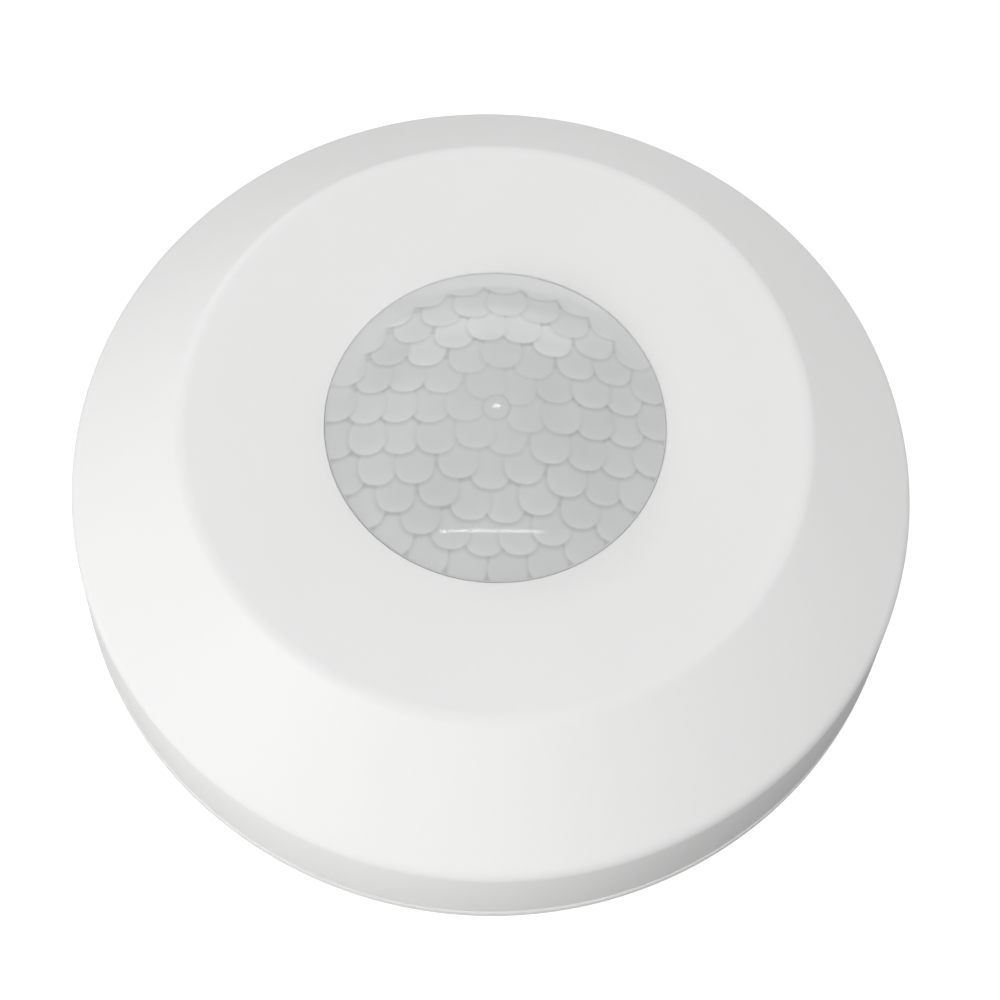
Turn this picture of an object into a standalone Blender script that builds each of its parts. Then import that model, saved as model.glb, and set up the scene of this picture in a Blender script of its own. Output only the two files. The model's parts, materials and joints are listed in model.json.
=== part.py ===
"""A round ceiling motion sensor: a passive-infrared detector behind a faceted dome lens.

Metres, +Z points from the ceiling into the room, and the origin is the centre of the back face.
The mounting base stays on the ceiling. The head turns on it by a bayonet, and the cover clips over the head.
"""

import math

import bmesh
import bpy
from mathutils import Matrix, Vector

# Driving dimensions of the outside.
HOUSING_RADIUS = 0.0575
PLATEAU_RADIUS = 0.0415  # where the plateau's plane meets the line of the cone
PLATEAU_HEIGHT = 0.0334
PLATEAU_FILLET = 0.0030
SHOULDER_HEIGHT = 0.0172  # where the cone's line meets the side wall
SHOULDER_FILLET = 0.0030
APERTURE_RADIUS = 0.0225
LENS_TOP = 0.0376
LENS_CURVE_RADIUS = 0.045
CLEARANCE = 0.0003
OVERLAP = 0.0004  # how far a joined block reaches into the wall it grows from
ROUND_STEPS = 60

# Mounting base.
BASE_RADIUS = HOUSING_RADIUS
BASE_THICKNESS = 0.0017
COLLAR_OUTER = 0.0475
COLLAR_INNER = 0.0460
COLLAR_TOP = 0.0048
CABLE_HOLE_RADIUS = 0.0110
GROMMET_FLANGE = 0.0012
GROMMET_BORE = 0.0050
SLOT_RADIUS = 0.0300
SLOT_WIDTH = 0.0050
SLOT_LENGTH = 0.0090  # from end to end, with round ends

# Bayonet: the base's lugs sit over the head's ledges.
BAYONET_ANGLES = (0, 120, 240)
BAYONET_WIDTH = 0.0110
LUG_OUTER = 0.0496
LUG_THICKNESS = 0.0012
LEDGE_INNER = 0.0482
LEDGE_THICKNESS = 0.0010

# Head: the rear housing and the circuit board.
HEAD_RADIUS = 0.0520
HEAD_WALL = 0.0016
HEAD_BOTTOM = BASE_THICKNESS + 0.0005
HEAD_FLOOR = 0.0054
FLOOR_THICKNESS = 0.0016
HEAD_TOP = 0.0120
BOARD_RADIUS = 0.0440
BOARD_THICKNESS = 0.0016
BOARD_BOTTOM = 0.0093
BOARD_TOP = BOARD_BOTTOM + BOARD_THICKNESS
SEAT = BOARD_TOP + CLEARANCE  # where the board's components stand
POST_CIRCLE = 0.0400
POST_RADIUS = 0.0030
BOARD_SCREW_ANGLES = (90, 210, 330)
BOARD_HOLE_RADIUS = 0.0015
PILOT_RADIUS = 0.0014
PILOT_BOTTOM = HEAD_FLOOR + 0.0006
SCREW_RADIUS = 0.0011
SCREW_HEAD_RADIUS = 0.0024
SCREW_HEAD_HEIGHT = 0.0016
WIRE_SLOT_SIZE = (0.0240, 0.0070)  # the cable's way through the housing's floor
WIRE_SLOT_Y = -0.0425
BOARD_NOTCH_SIZE = (0.0220, 0.0060)  # the board's recess over that slot

# Cover.
COVER_BOTTOM = BASE_THICKNESS + 0.0004
COVER_WALL = 0.0020
WALL_DRAFT = 0.0002
APERTURE_LIP_BOTTOM = 0.0303
DISH_RADIUS = 0.0270
DISH_DEPTH = 0.0007
CLIP_ANGLES = (30, 150, 270)
CLIP_WIDTH = 0.0080
CLIP_UNDERCUT = 0.0004
HOOK_THICKNESS = 0.0018
TAMPER_POST_RADIUS = 0.0018
BEAD_OUTER = HEAD_RADIUS + 0.0012
BEAD_BOTTOM = 0.0070
BEAD_THICKNESS = 0.0012

# Lens stack under the cover's aperture lip.
FLANGE_RADIUS = 0.0264
FLANGE_THICKNESS = 0.0010
LENS_THICKNESS = 0.0008
RING_INNER = 0.0228
RING_THICKNESS = 0.0015
BOSS_WALL = 0.0015
SNAP_LIP = 0.0007

# Infrared detector on the lens axis.
HOLDER_RADIUS = 0.0065
HOLDER_TOP = SEAT + 0.0029
POCKET_RADIUS = 0.0050
POCKET_BOTTOM = HOLDER_TOP - 0.0012
CAN_RADIUS = 0.0041
CAN_FLANGE_RADIUS = 0.0046
CAN_BOTTOM = POCKET_BOTTOM + CLEARANCE
CAN_TOP = CAN_BOTTOM + 0.0043
WINDOW_DEPTH = 0.0005
WINDOW_SIDE = 0.0034

# Terminal block at the board's edge.
TERMINAL_COUNT = 6
TERMINAL_PITCH = 0.00508
TERMINAL_Y = -0.0323
TERMINAL_HEIGHT = 0.0100
TERMINAL_DEPTH = 0.0084
WELL_RADIUS = 0.0019
WELL_DEPTH = 0.0036
WELL_Y = TERMINAL_Y + 0.0005
WIRE_ENTRY = 0.0032  # side of the square wire holes
WIRE_ENTRY_DEPTH = 0.0025

# Relay and chips, as (length, width, height).
RELAY_SIZE = (0.0152, 0.0074, 0.0100)
CONTROLLER_SIZE = (0.0100, 0.0076, 0.0018)
AMPLIFIER_SIZE = (0.0050, 0.0040, 0.0015)

# Tamper switch, option switches, sensitivity trimmer and jumper.
TAMPER_PLACE = (-0.0300, 0.0140)
TAMPER_SIDE = 0.0062
TAMPER_BODY_HEIGHT = 0.0036
TAMPER_TRAVEL = 0.0008
PLUNGER_RADIUS = 0.0015
PLUNGER_TOP = SEAT + TAMPER_BODY_HEIGHT + 0.0018
DIP_PLACE = (0.0290, 0.0130)
DIP_COUNT = 3
DIP_PITCH = 0.00254
DIP_DEPTH = 0.0062
DIP_HEIGHT = 0.0032
DIP_SLOT_DEPTH = 0.0012
DIP_TRAVEL = 0.0013
SLIDER_LENGTH = 0.0012
SLIDER_WIDTH = 0.0010
SLIDER_HEIGHT = 0.0015
TRIMMER_PLACE = (0.0270, -0.0060)
TRIMMER_SIDE = 0.0066
TRIMMER_HEIGHT = 0.0034
ROTOR_RADIUS = 0.0022
ROTOR_HEIGHT = 0.0014
ROTOR_POCKET_DEPTH = 0.0012
JUMPER_PLACE = (-0.0320, -0.0060)
PIN_PITCH = 0.00254
PIN_SIDE = 0.0006
PIN_LENGTH = 0.0075
JUMPER_BLOCK_HEIGHT = 0.0025
JUMPER_CAP_SIZE = (0.0050, 0.0024, 0.0060)
CAP_SOCKET_DEPTH = 0.0052


def clear_scene():
    for obj in list(bpy.data.objects):
        bpy.data.objects.remove(obj, do_unlink=True)


def new_collection(name):
    collection = bpy.data.collections.new(name)
    bpy.context.scene.collection.children.link(collection)
    return collection


def material(name, colour, roughness, metallic=0.0):
    made = bpy.data.materials.new(name)
    made.use_nodes = True
    shader = made.node_tree.nodes["Principled BSDF"]
    shader.inputs["Base Color"].default_value = (*colour, 1.0)
    shader.inputs["Roughness"].default_value = roughness
    shader.inputs["Metallic"].default_value = metallic
    return made


def add_object(name, mesh, look, collection, place=(0, 0, 0)):
    obj = bpy.data.objects.new(name, mesh)
    obj.location = place
    if look is not None:
        mesh.materials.append(look)
    collection.objects.link(obj)
    return obj


def box_mesh(name, size, offset=(0, 0, 0)):
    """A box of this size, with its centre at offset."""
    shape = bmesh.new()
    place = Matrix.Translation(offset) @ Matrix.Diagonal((*size, 1.0))
    bmesh.ops.create_cube(shape, size=1.0, matrix=place)
    mesh = bpy.data.meshes.new(name)
    shape.to_mesh(mesh)
    shape.free()
    return mesh


def rod_mesh(name, radius, bottom, top, segments=24):
    """An upright cylinder from bottom to top."""
    shape = bmesh.new()
    bmesh.ops.create_cone(
        shape,
        cap_ends=True,
        segments=segments,
        radius1=radius,
        radius2=radius,
        depth=top - bottom,
        matrix=Matrix.Translation((0, 0, (bottom + top) / 2)),
    )
    mesh = bpy.data.meshes.new(name)
    shape.to_mesh(mesh)
    shape.free()
    return smooth(mesh)


def smooth(mesh):
    """Shades the mesh smooth, except over its sharp edges."""
    mesh.shade_smooth()
    mesh.set_sharp_from_angle(angle=math.radians(35))
    return mesh


def turned(name, profile, look, collection, steps=ROUND_STEPS, closed=True, place=(0, 0, 0)):
    """A profile of (radius, height) points, turned about Z. It runs down the outer side."""
    count = len(profile)
    last = count if closed else count - 1
    mesh = bpy.data.meshes.new(name)
    edges = [(i, (i + 1) % count) for i in range(last)]
    mesh.from_pydata([(radius, 0, height) for radius, height in profile], edges, [])
    obj = add_object(name, mesh, look, collection, place)
    turn = obj.modifiers.new("turn", "SCREW")
    turn.steps = steps
    turn.render_steps = steps
    turn.use_merge_vertices = True
    turn.merge_threshold = 0.00001
    smooth(bake(obj))
    return obj


def arc_at(before, corner, after, radius, segments=3):
    """The points of an arc of this radius that rounds a profile's corner."""
    corner = Vector(corner)
    back = (Vector(before) - corner).normalized()
    ahead = (Vector(after) - corner).normalized()
    half = back.angle(ahead) / 2
    centre = corner + (back + ahead).normalized() * (radius / math.sin(half))
    start = corner + back * (radius / math.tan(half)) - centre
    end = corner + ahead * (radius / math.tan(half)) - centre
    sweep = start.angle(end)
    points = []
    for i in range(segments + 1):
        share = i / segments
        blend = start * math.sin((1 - share) * sweep) + end * math.sin(share * sweep)
        points.append(tuple(centre + blend / math.sin(sweep)))
    return points


def boolean(target, helper, operation):
    helper.hide_render = True
    helper.display_type = "WIRE"
    modifier = target.modifiers.new(helper.name, "BOOLEAN")
    modifier.object = helper
    modifier.operation = operation


def cut(target, mesh, place=(0, 0, 0), angle=0.0):
    helper = add_object(mesh.name, mesh, None, CUTTERS, place)
    helper.rotation_euler.z = angle
    boolean(target, helper, "DIFFERENCE")


def join(target, mesh, place=(0, 0, 0), angle=0.0):
    helper = add_object(mesh.name, mesh, None, CUTTERS, place)
    helper.rotation_euler.z = angle
    boolean(target, helper, "UNION")


def bake(obj):
    """Replaces the object's mesh by its evaluated one, with the modifiers applied."""
    graph = bpy.context.evaluated_depsgraph_get()
    look = obj.data.materials[0]
    mesh = bpy.data.meshes.new_from_object(obj.evaluated_get(graph))
    obj.modifiers.clear()
    mesh.materials.clear()
    mesh.materials.append(look)
    obj.data = mesh
    return mesh


def bevel(obj, width, segments=1):
    modifier = obj.modifiers.new("edges", "BEVEL")
    modifier.width = width
    modifier.segments = segments
    modifier.limit_method = "ANGLE"


def on_circle(radius, degrees):
    angle = math.radians(degrees)
    return (radius * math.cos(angle), radius * math.sin(angle), 0)


def block_mesh(name, inner, outer, width, bottom, top):
    """A block that reaches from radius inner to outer along X and is width wide along Y."""
    size = (outer - inner, width, top - bottom)
    return box_mesh(name, size, ((inner + outer) / 2, 0, (bottom + top) / 2))


def mounting_base():
    edge = 0.0003
    profile = [
        (COLLAR_OUTER, COLLAR_TOP),
        (COLLAR_OUTER, BASE_THICKNESS),
        (BASE_RADIUS - edge, BASE_THICKNESS),
        (BASE_RADIUS, BASE_THICKNESS - edge),
        (BASE_RADIUS, 0),
        (CABLE_HOLE_RADIUS, 0),
        (CABLE_HOLE_RADIUS, BASE_THICKNESS),
        (COLLAR_INNER, BASE_THICKNESS),
        (COLLAR_INNER, COLLAR_TOP),
    ]
    base = turned("mounting_base", profile, WHITE_MATT, SENSOR)
    stop_width = 0.0016
    for number, degrees in enumerate(BAYONET_ANGLES):
        angle = math.radians(degrees)
        lug_bottom = COLLAR_TOP - LUG_THICKNESS
        inner = COLLAR_OUTER - OVERLAP
        lug = block_mesh(f"lug_{number}", inner, LUG_OUTER, BAYONET_WIDTH, lug_bottom, COLLAR_TOP)
        join(base, lug, angle=angle)
        stop_bottom = BASE_THICKNESS - OVERLAP
        stop = block_mesh(f"stop_{number}", inner, LUG_OUTER, stop_width, stop_bottom, COLLAR_TOP)
        side = -(BAYONET_WIDTH / 2 + stop_width / 2 + CLEARANCE)
        turned_back = math.asin(side / inner)
        join(base, stop, angle=angle + turned_back)
    half_run = (SLOT_LENGTH - SLOT_WIDTH) / 2
    through = (-BASE_THICKNESS, 2 * BASE_THICKNESS)
    for side in (-1, 1):
        size = (2 * half_run, SLOT_WIDTH, through[1] - through[0])
        slot = box_mesh(f"slot_middle_{side}", size, (0, 0, sum(through) / 2))
        cut(base, slot, place=(side * SLOT_RADIUS, 0, 0))
        for end in (-1, 1):
            round_end = rod_mesh(f"slot_end_{side}_{end}", SLOT_WIDTH / 2, *through)
            cut(base, round_end, place=(side * SLOT_RADIUS + end * half_run, 0, 0))
    return base


def cable_grommet():
    waist = CABLE_HOLE_RADIUS - CLEARANCE
    flange_bottom = BASE_THICKNESS + CLEARANCE
    flange_top = flange_bottom + GROMMET_FLANGE
    flange_radius = CABLE_HOLE_RADIUS + 0.0020
    foot = CLEARANCE
    profile = [
        (flange_radius, flange_top),
        (flange_radius, flange_bottom),
        (waist, flange_bottom),
        (waist, foot),
        (GROMMET_BORE, foot),
        (GROMMET_BORE, flange_top),
    ]
    return turned("cable_grommet", profile, BLACK_RUBBER, SENSOR)


def rear_housing():
    inner = HEAD_RADIUS - HEAD_WALL
    floor_top = HEAD_FLOOR + FLOOR_THICKNESS
    centre_hole = 0.0090
    profile = [
        (HEAD_RADIUS, HEAD_TOP),
        (HEAD_RADIUS, HEAD_BOTTOM),
        (inner, HEAD_BOTTOM),
        (inner, HEAD_FLOOR),
        (centre_hole, HEAD_FLOOR),
        (centre_hole, floor_top),
        (inner, floor_top),
        (inner, HEAD_TOP),
    ]
    housing = turned("rear_housing", profile, WHITE_MATT, SENSOR)
    ledge_top = HEAD_BOTTOM + LEDGE_THICKNESS
    ledge_outer = inner + OVERLAP
    for number, degrees in enumerate(BAYONET_ANGLES):
        name = f"ledge_{number}"
        ledge = block_mesh(name, LEDGE_INNER, ledge_outer, BAYONET_WIDTH, HEAD_BOTTOM, ledge_top)
        join(housing, ledge, angle=math.radians(degrees))
    bead_top = BEAD_BOTTOM + BEAD_THICKNESS
    bead_inner = HEAD_RADIUS - OVERLAP
    for number, degrees in enumerate(CLIP_ANGLES):
        name = f"bead_{number}"
        bead = block_mesh(name, bead_inner, BEAD_OUTER, CLIP_WIDTH, BEAD_BOTTOM, bead_top)
        join(housing, bead, angle=math.radians(degrees))
    post_top = BOARD_BOTTOM - CLEARANCE
    for number, degrees in enumerate(BOARD_SCREW_ANGLES):
        place = on_circle(POST_CIRCLE, degrees)
        post = rod_mesh(f"post_{number}", POST_RADIUS, floor_top - OVERLAP, post_top)
        join(housing, post, place)
        pilot = rod_mesh(f"pilot_{number}", PILOT_RADIUS, PILOT_BOTTOM, 2 * post_top, 12)
        cut(housing, pilot, place)
    wire_slot = box_mesh("wire_slot", (*WIRE_SLOT_SIZE, 4 * FLOOR_THICKNESS))
    cut(housing, wire_slot, place=(0, WIRE_SLOT_Y, HEAD_FLOOR))
    return housing


def circuit_board():
    board = add_object(
        "circuit_board",
        rod_mesh("circuit_board", BOARD_RADIUS, BOARD_BOTTOM, BOARD_TOP, ROUND_STEPS),
        BOARD_GREEN,
        SENSOR,
    )
    for number, degrees in enumerate(BOARD_SCREW_ANGLES):
        hole = rod_mesh(f"board_hole_{number}", BOARD_HOLE_RADIUS, 0, 2 * BOARD_TOP, 12)
        cut(board, hole, on_circle(POST_CIRCLE, degrees))
    notch = box_mesh("board_notch", (*BOARD_NOTCH_SIZE, 4 * BOARD_THICKNESS))
    cut(board, notch, place=(0, -BOARD_RADIUS, BOARD_BOTTOM))
    return board


def board_screws():
    """Three pan-head screws with a crossed recess."""
    head_top = SEAT + SCREW_HEAD_HEIGHT
    chamfer = 0.0006
    shank_bottom = PILOT_BOTTOM + 2 * CLEARANCE
    profile = [
        (0, head_top),
        (SCREW_HEAD_RADIUS - chamfer, head_top),
        (SCREW_HEAD_RADIUS, head_top - chamfer),
        (SCREW_HEAD_RADIUS, SEAT),
        (SCREW_RADIUS, SEAT),
        (SCREW_RADIUS, shank_bottom),
        (0, shank_bottom),
    ]
    recess_size = (0.0026, 0.0006, SCREW_HEAD_HEIGHT)
    first = turned("pcb_screw_1", profile, STEEL, SENSOR, steps=16, closed=False)
    for angle in (0, math.pi / 2):
        recess = box_mesh("cross_recess", recess_size)
        cut(first, recess, place=(0, 0, head_top), angle=angle)
    shared = bake(first)
    screws = [first]
    for number in range(2, len(BOARD_SCREW_ANGLES) + 1):
        screws.append(add_copy(f"pcb_screw_{number}", shared))
    for screw, degrees in zip(screws, BOARD_SCREW_ANGLES):
        screw.location = on_circle(POST_CIRCLE, degrees)
    return screws


def add_copy(name, mesh):
    obj = bpy.data.objects.new(name, mesh)
    SENSOR.objects.link(obj)
    return obj


def sensor_holder():
    profile = [
        (0, POCKET_BOTTOM),
        (POCKET_RADIUS, POCKET_BOTTOM),
        (POCKET_RADIUS, HOLDER_TOP),
        (HOLDER_RADIUS, HOLDER_TOP),
        (HOLDER_RADIUS, SEAT),
        (0, SEAT),
    ]
    return turned("sensor_holder", profile, WHITE_MATT, SENSOR, steps=30, closed=False)


def pyro_sensor():
    """The metal can of the infrared detector, and the dark filter set in its top."""
    flange_top = CAN_BOTTOM + 0.0006
    axis_top = (0, CAN_TOP)
    rim = (CAN_RADIUS, CAN_TOP)
    waist = (CAN_RADIUS, flange_top)
    profile = [
        axis_top,
        *arc_at(axis_top, rim, waist, 0.0005, 2),
        waist,
        (CAN_FLANGE_RADIUS, flange_top),
        (CAN_FLANGE_RADIUS, CAN_BOTTOM),
        (0, CAN_BOTTOM),
    ]
    can = turned("pyro_sensor_can", profile, STEEL, SENSOR, steps=30, closed=False)
    opening = WINDOW_SIDE + 2 * CLEARANCE
    pocket = box_mesh("window_pocket", (opening, opening, 2 * WINDOW_DEPTH))
    cut(can, pocket, place=(0, 0, CAN_TOP))
    thickness = WINDOW_DEPTH - CLEARANCE + 0.0001
    bottom = CAN_TOP - WINDOW_DEPTH + CLEARANCE
    window_mesh = box_mesh("pyro_sensor_window", (WINDOW_SIDE, WINDOW_SIDE, thickness))
    place = (0, 0, bottom + thickness / 2)
    window = add_object("pyro_sensor_window", window_mesh, DARK_FILTER, SENSOR, place)
    return [can, window]


def status_led():
    radius = 0.0015
    flange_radius = 0.0019
    flange_top = SEAT + 0.0009
    dome_centre = SEAT + 0.0034
    profile = [(radius * math.sin(a), dome_centre + radius * math.cos(a)) for a in quarter_turn(4)]
    profile += [(radius, flange_top), (flange_radius, flange_top), (flange_radius, SEAT), (0, SEAT)]
    place = (0.0110, -0.0090, 0)
    return turned("status_led", profile, LED_RED, SENSOR, steps=20, closed=False, place=place)


def quarter_turn(segments):
    return [math.pi / 2 * i / segments for i in range(segments + 1)]


def terminal_places():
    middle = (TERMINAL_COUNT - 1) / 2
    return [(i - middle) * TERMINAL_PITCH for i in range(TERMINAL_COUNT)]


def terminal_block():
    """The block stands at the board's edge, with its wire holes facing outwards."""
    length = TERMINAL_COUNT * TERMINAL_PITCH
    size = (length, TERMINAL_DEPTH, TERMINAL_HEIGHT)
    mesh = box_mesh("terminal_block", size, (0, 0, TERMINAL_HEIGHT / 2))
    block = add_object("terminal_block", mesh, TERMINAL_GREEN, SENSOR, (0, TERMINAL_Y, SEAT))
    entry_size = (WIRE_ENTRY, 2 * WIRE_ENTRY_DEPTH, WIRE_ENTRY)
    outer_side = TERMINAL_Y - TERMINAL_DEPTH / 2
    well_bottom = TERMINAL_HEIGHT - WELL_DEPTH
    for number, x in enumerate(terminal_places()):
        well = rod_mesh(f"well_{number}", WELL_RADIUS, well_bottom, 2 * TERMINAL_HEIGHT, 16)
        cut(block, well, place=(x, WELL_Y, SEAT))
        entry = box_mesh(f"entry_{number}", entry_size)
        cut(block, entry, place=(x, outer_side, SEAT + WIRE_ENTRY))
    return block


def terminal_screws():
    """Slotted clamping screws, each in its own well."""
    top = 0.0024
    radius = WELL_RADIUS - CLEARANCE
    mesh = rod_mesh("terminal_screw", radius, 0, top, 16)
    screw = add_object("terminal_screw_1", mesh, STEEL, SENSOR)
    cut(screw, box_mesh("screw_slot", (4 * radius, 0.0005, top / 2)), place=(0, 0, top))
    shared = bake(screw)
    screws = [screw]
    for number in range(2, TERMINAL_COUNT + 1):
        screws.append(add_copy(f"terminal_screw_{number}", shared))
    height = SEAT + TERMINAL_HEIGHT - WELL_DEPTH + CLEARANCE
    for one, x in zip(screws, terminal_places()):
        one.location = (x, WELL_Y, height)
    return screws


def standing_box(name, size, place, look, edge):
    mesh = box_mesh(name, size, (0, 0, size[2] / 2))
    obj = add_object(name, mesh, look, SENSOR, (*place, SEAT))
    bevel(obj, edge)
    return obj


def standing_can(name, radius, height, place):
    """An electrolytic capacitor, with the rolled groove near its foot."""
    groove = radius * 0.08
    profile = [
        (0, SEAT + height),
        (radius - groove, SEAT + height),
        (radius, SEAT + height - groove),
        (radius, SEAT + 0.20 * height),
        (radius - groove, SEAT + 0.16 * height),
        (radius, SEAT + 0.12 * height),
        (radius, SEAT),
        (0, SEAT),
    ]
    return turned(name, profile, CAPACITOR_BLACK, SENSOR, steps=24, closed=False, place=(*place, 0))


def tamper_switch():
    size = (TAMPER_SIDE, TAMPER_SIDE, TAMPER_BODY_HEIGHT)
    body = standing_box("tamper_switch_body", size, TAMPER_PLACE, SWITCH_BLACK, 0.0003)
    bore_bottom = SEAT + 0.0007
    bore = rod_mesh("plunger_bore", PLUNGER_RADIUS + CLEARANCE, bore_bottom, PLUNGER_TOP, 20)
    cut(body, bore, place=(*TAMPER_PLACE, 0))
    foot = bore_bottom + TAMPER_TRAVEL + CLEARANCE
    mesh = rod_mesh("tamper_plunger", PLUNGER_RADIUS, foot, PLUNGER_TOP, 20)
    plunger = add_object("tamper_plunger", mesh, WHITE_MATT, SENSOR, (*TAMPER_PLACE, 0))
    return [body, plunger]


def dip_switch():
    """The option switches: a body with one slot for each slider."""
    size = ((DIP_COUNT + 0.5) * DIP_PITCH, DIP_DEPTH, DIP_HEIGHT)
    body = standing_box("dip_switch_body", size, DIP_PLACE, SWITCH_BLUE, 0.0002)
    slot_length = SLIDER_LENGTH + DIP_TRAVEL + 2 * CLEARANCE
    slot_size = (SLIDER_WIDTH + 2 * CLEARANCE, slot_length, 2 * DIP_SLOT_DEPTH)
    slider_size = (SLIDER_WIDTH, SLIDER_LENGTH, SLIDER_HEIGHT)
    top = SEAT + DIP_HEIGHT
    sliders = []
    for number in range(DIP_COUNT):
        x = DIP_PLACE[0] + (number - (DIP_COUNT - 1) / 2) * DIP_PITCH
        slot = box_mesh(f"dip_slot_{number}", slot_size)
        cut(body, slot, place=(x, DIP_PLACE[1], top))
        bottom = top - DIP_SLOT_DEPTH + CLEARANCE
        mesh = box_mesh("dip_slider", slider_size, (0, 0, SLIDER_HEIGHT / 2))
        place = (x, DIP_PLACE[1] - DIP_TRAVEL / 2, bottom)
        sliders.append(add_object(f"dip_slider_{number + 1}", mesh, WHITE_MATT, SENSOR, place))
    return [body, *sliders]


def trimmer():
    """The sensitivity trimmer: a square body and the rotor that a screwdriver turns."""
    size = (TRIMMER_SIDE, TRIMMER_SIDE, TRIMMER_HEIGHT)
    body = standing_box("trimmer_body", size, TRIMMER_PLACE, SWITCH_BLUE, 0.0003)
    body_top = SEAT + TRIMMER_HEIGHT
    pocket_bottom = body_top - ROTOR_POCKET_DEPTH
    pocket = rod_mesh("rotor_pocket", ROTOR_RADIUS + CLEARANCE, pocket_bottom, 2 * body_top, 24)
    cut(body, pocket, place=(*TRIMMER_PLACE, 0))
    bottom = pocket_bottom + CLEARANCE
    top = bottom + ROTOR_HEIGHT
    mesh = rod_mesh("trimmer_rotor", ROTOR_RADIUS, bottom, top, 24)
    rotor = add_object("trimmer_rotor", mesh, WHITE_MATT, SENSOR, (*TRIMMER_PLACE, 0))
    slot_size = (1.5 * ROTOR_RADIUS, 0.0006, ROTOR_HEIGHT)
    cut(rotor, box_mesh("rotor_slot", slot_size), place=(*TRIMMER_PLACE, top))
    return [body, rotor]


def jumper():
    """A two-pin header and the cap that bridges it."""
    hole = PIN_SIDE + 2 * CLEARANCE
    size = (2 * PIN_PITCH, PIN_PITCH, JUMPER_BLOCK_HEIGHT)
    block = standing_box("jumper_block", size, JUMPER_PLACE, SWITCH_BLACK, 0.0002)
    cap_bottom = SEAT + JUMPER_BLOCK_HEIGHT + CLEARANCE
    cap_mesh = box_mesh("jumper_cap", JUMPER_CAP_SIZE, (0, 0, JUMPER_CAP_SIZE[2] / 2))
    cap = add_object("jumper_cap", cap_mesh, SWITCH_BLUE, SENSOR, (*JUMPER_PLACE, cap_bottom))
    pins = []
    for number, side in enumerate((-1, 1)):
        x = JUMPER_PLACE[0] + side * PIN_PITCH / 2
        y = JUMPER_PLACE[1]
        through = box_mesh(f"block_hole_{number}", (hole, hole, 4 * JUMPER_BLOCK_HEIGHT))
        cut(block, through, place=(x, y, SEAT))
        socket = box_mesh(f"cap_socket_{number}", (hole, hole, 2 * CAP_SOCKET_DEPTH))
        cut(cap, socket, place=(x, y, cap_bottom))
        mesh = box_mesh("jumper_pin", (PIN_SIDE, PIN_SIDE, PIN_LENGTH), (0, 0, PIN_LENGTH / 2))
        pins.append(add_object(f"jumper_pin_{number + 1}", mesh, BRASS, SENSOR, (x, y, SEAT)))
    return [block, *pins, cap]


def cover_outside():
    """The outer side of the cover, from the aperture out over the plateau and down to its lower edge."""
    aperture_top = PLATEAU_HEIGHT - DISH_DEPTH
    wall_top = (HOUSING_RADIUS - WALL_DRAFT, SHOULDER_HEIGHT)
    plateau_edge = (PLATEAU_RADIUS, PLATEAU_HEIGHT)
    dish_edge = (DISH_RADIUS, PLATEAU_HEIGHT)
    edge = 0.0004
    foot = (HOUSING_RADIUS, COVER_BOTTOM + edge)
    return [
        (APERTURE_RADIUS, aperture_top - edge),
        (APERTURE_RADIUS + edge, aperture_top),
        dish_edge,
        *arc_at(dish_edge, plateau_edge, wall_top, PLATEAU_FILLET),
        *arc_at(plateau_edge, wall_top, foot, SHOULDER_FILLET),
        foot,
        (HOUSING_RADIUS - edge, COVER_BOTTOM),
    ]


def front_cover():
    wall_inner = HOUSING_RADIUS - COVER_WALL
    boss_inner = FLANGE_RADIUS + CLEARANCE
    lens_bottom = APERTURE_LIP_BOTTOM - CLEARANCE - FLANGE_THICKNESS
    ring_bottom = lens_bottom - CLEARANCE - RING_THICKNESS
    lip_top = ring_bottom - CLEARANCE
    lip_bottom = lip_top - SNAP_LIP
    ceiling = PLATEAU_HEIGHT - COVER_WALL
    inside = [
        (wall_inner, COVER_BOTTOM),
        (wall_inner - WALL_DRAFT, SHOULDER_HEIGHT - COVER_WALL / 2),
        (PLATEAU_RADIUS - COVER_WALL / 2, ceiling),
        (boss_inner + BOSS_WALL, ceiling),
        (boss_inner + BOSS_WALL, lip_bottom),
        (boss_inner - SNAP_LIP, lip_bottom),
        (boss_inner - SNAP_LIP, lip_top),
        (boss_inner, lip_top),
        (boss_inner, APERTURE_LIP_BOTTOM),
        (APERTURE_RADIUS, APERTURE_LIP_BOTTOM),
    ]
    cover = turned("front_cover", cover_outside() + inside, WHITE_GLOSS, SENSOR)
    hook_inner = BEAD_OUTER - CLIP_UNDERCUT
    hook_outer = wall_inner + OVERLAP
    hook_top = BEAD_BOTTOM - CLEARANCE
    hook_bottom = hook_top - HOOK_THICKNESS
    for number, degrees in enumerate(CLIP_ANGLES):
        name = f"hook_{number}"
        hook = block_mesh(name, hook_inner, hook_outer, CLIP_WIDTH, hook_bottom, hook_top)
        join(cover, hook, angle=math.radians(degrees))
    post_bottom = PLUNGER_TOP + CLEARANCE
    post = rod_mesh("tamper_post", TAMPER_POST_RADIUS, post_bottom, ceiling + OVERLAP, 16)
    join(cover, post, place=(*TAMPER_PLACE, 0))
    return cover


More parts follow.
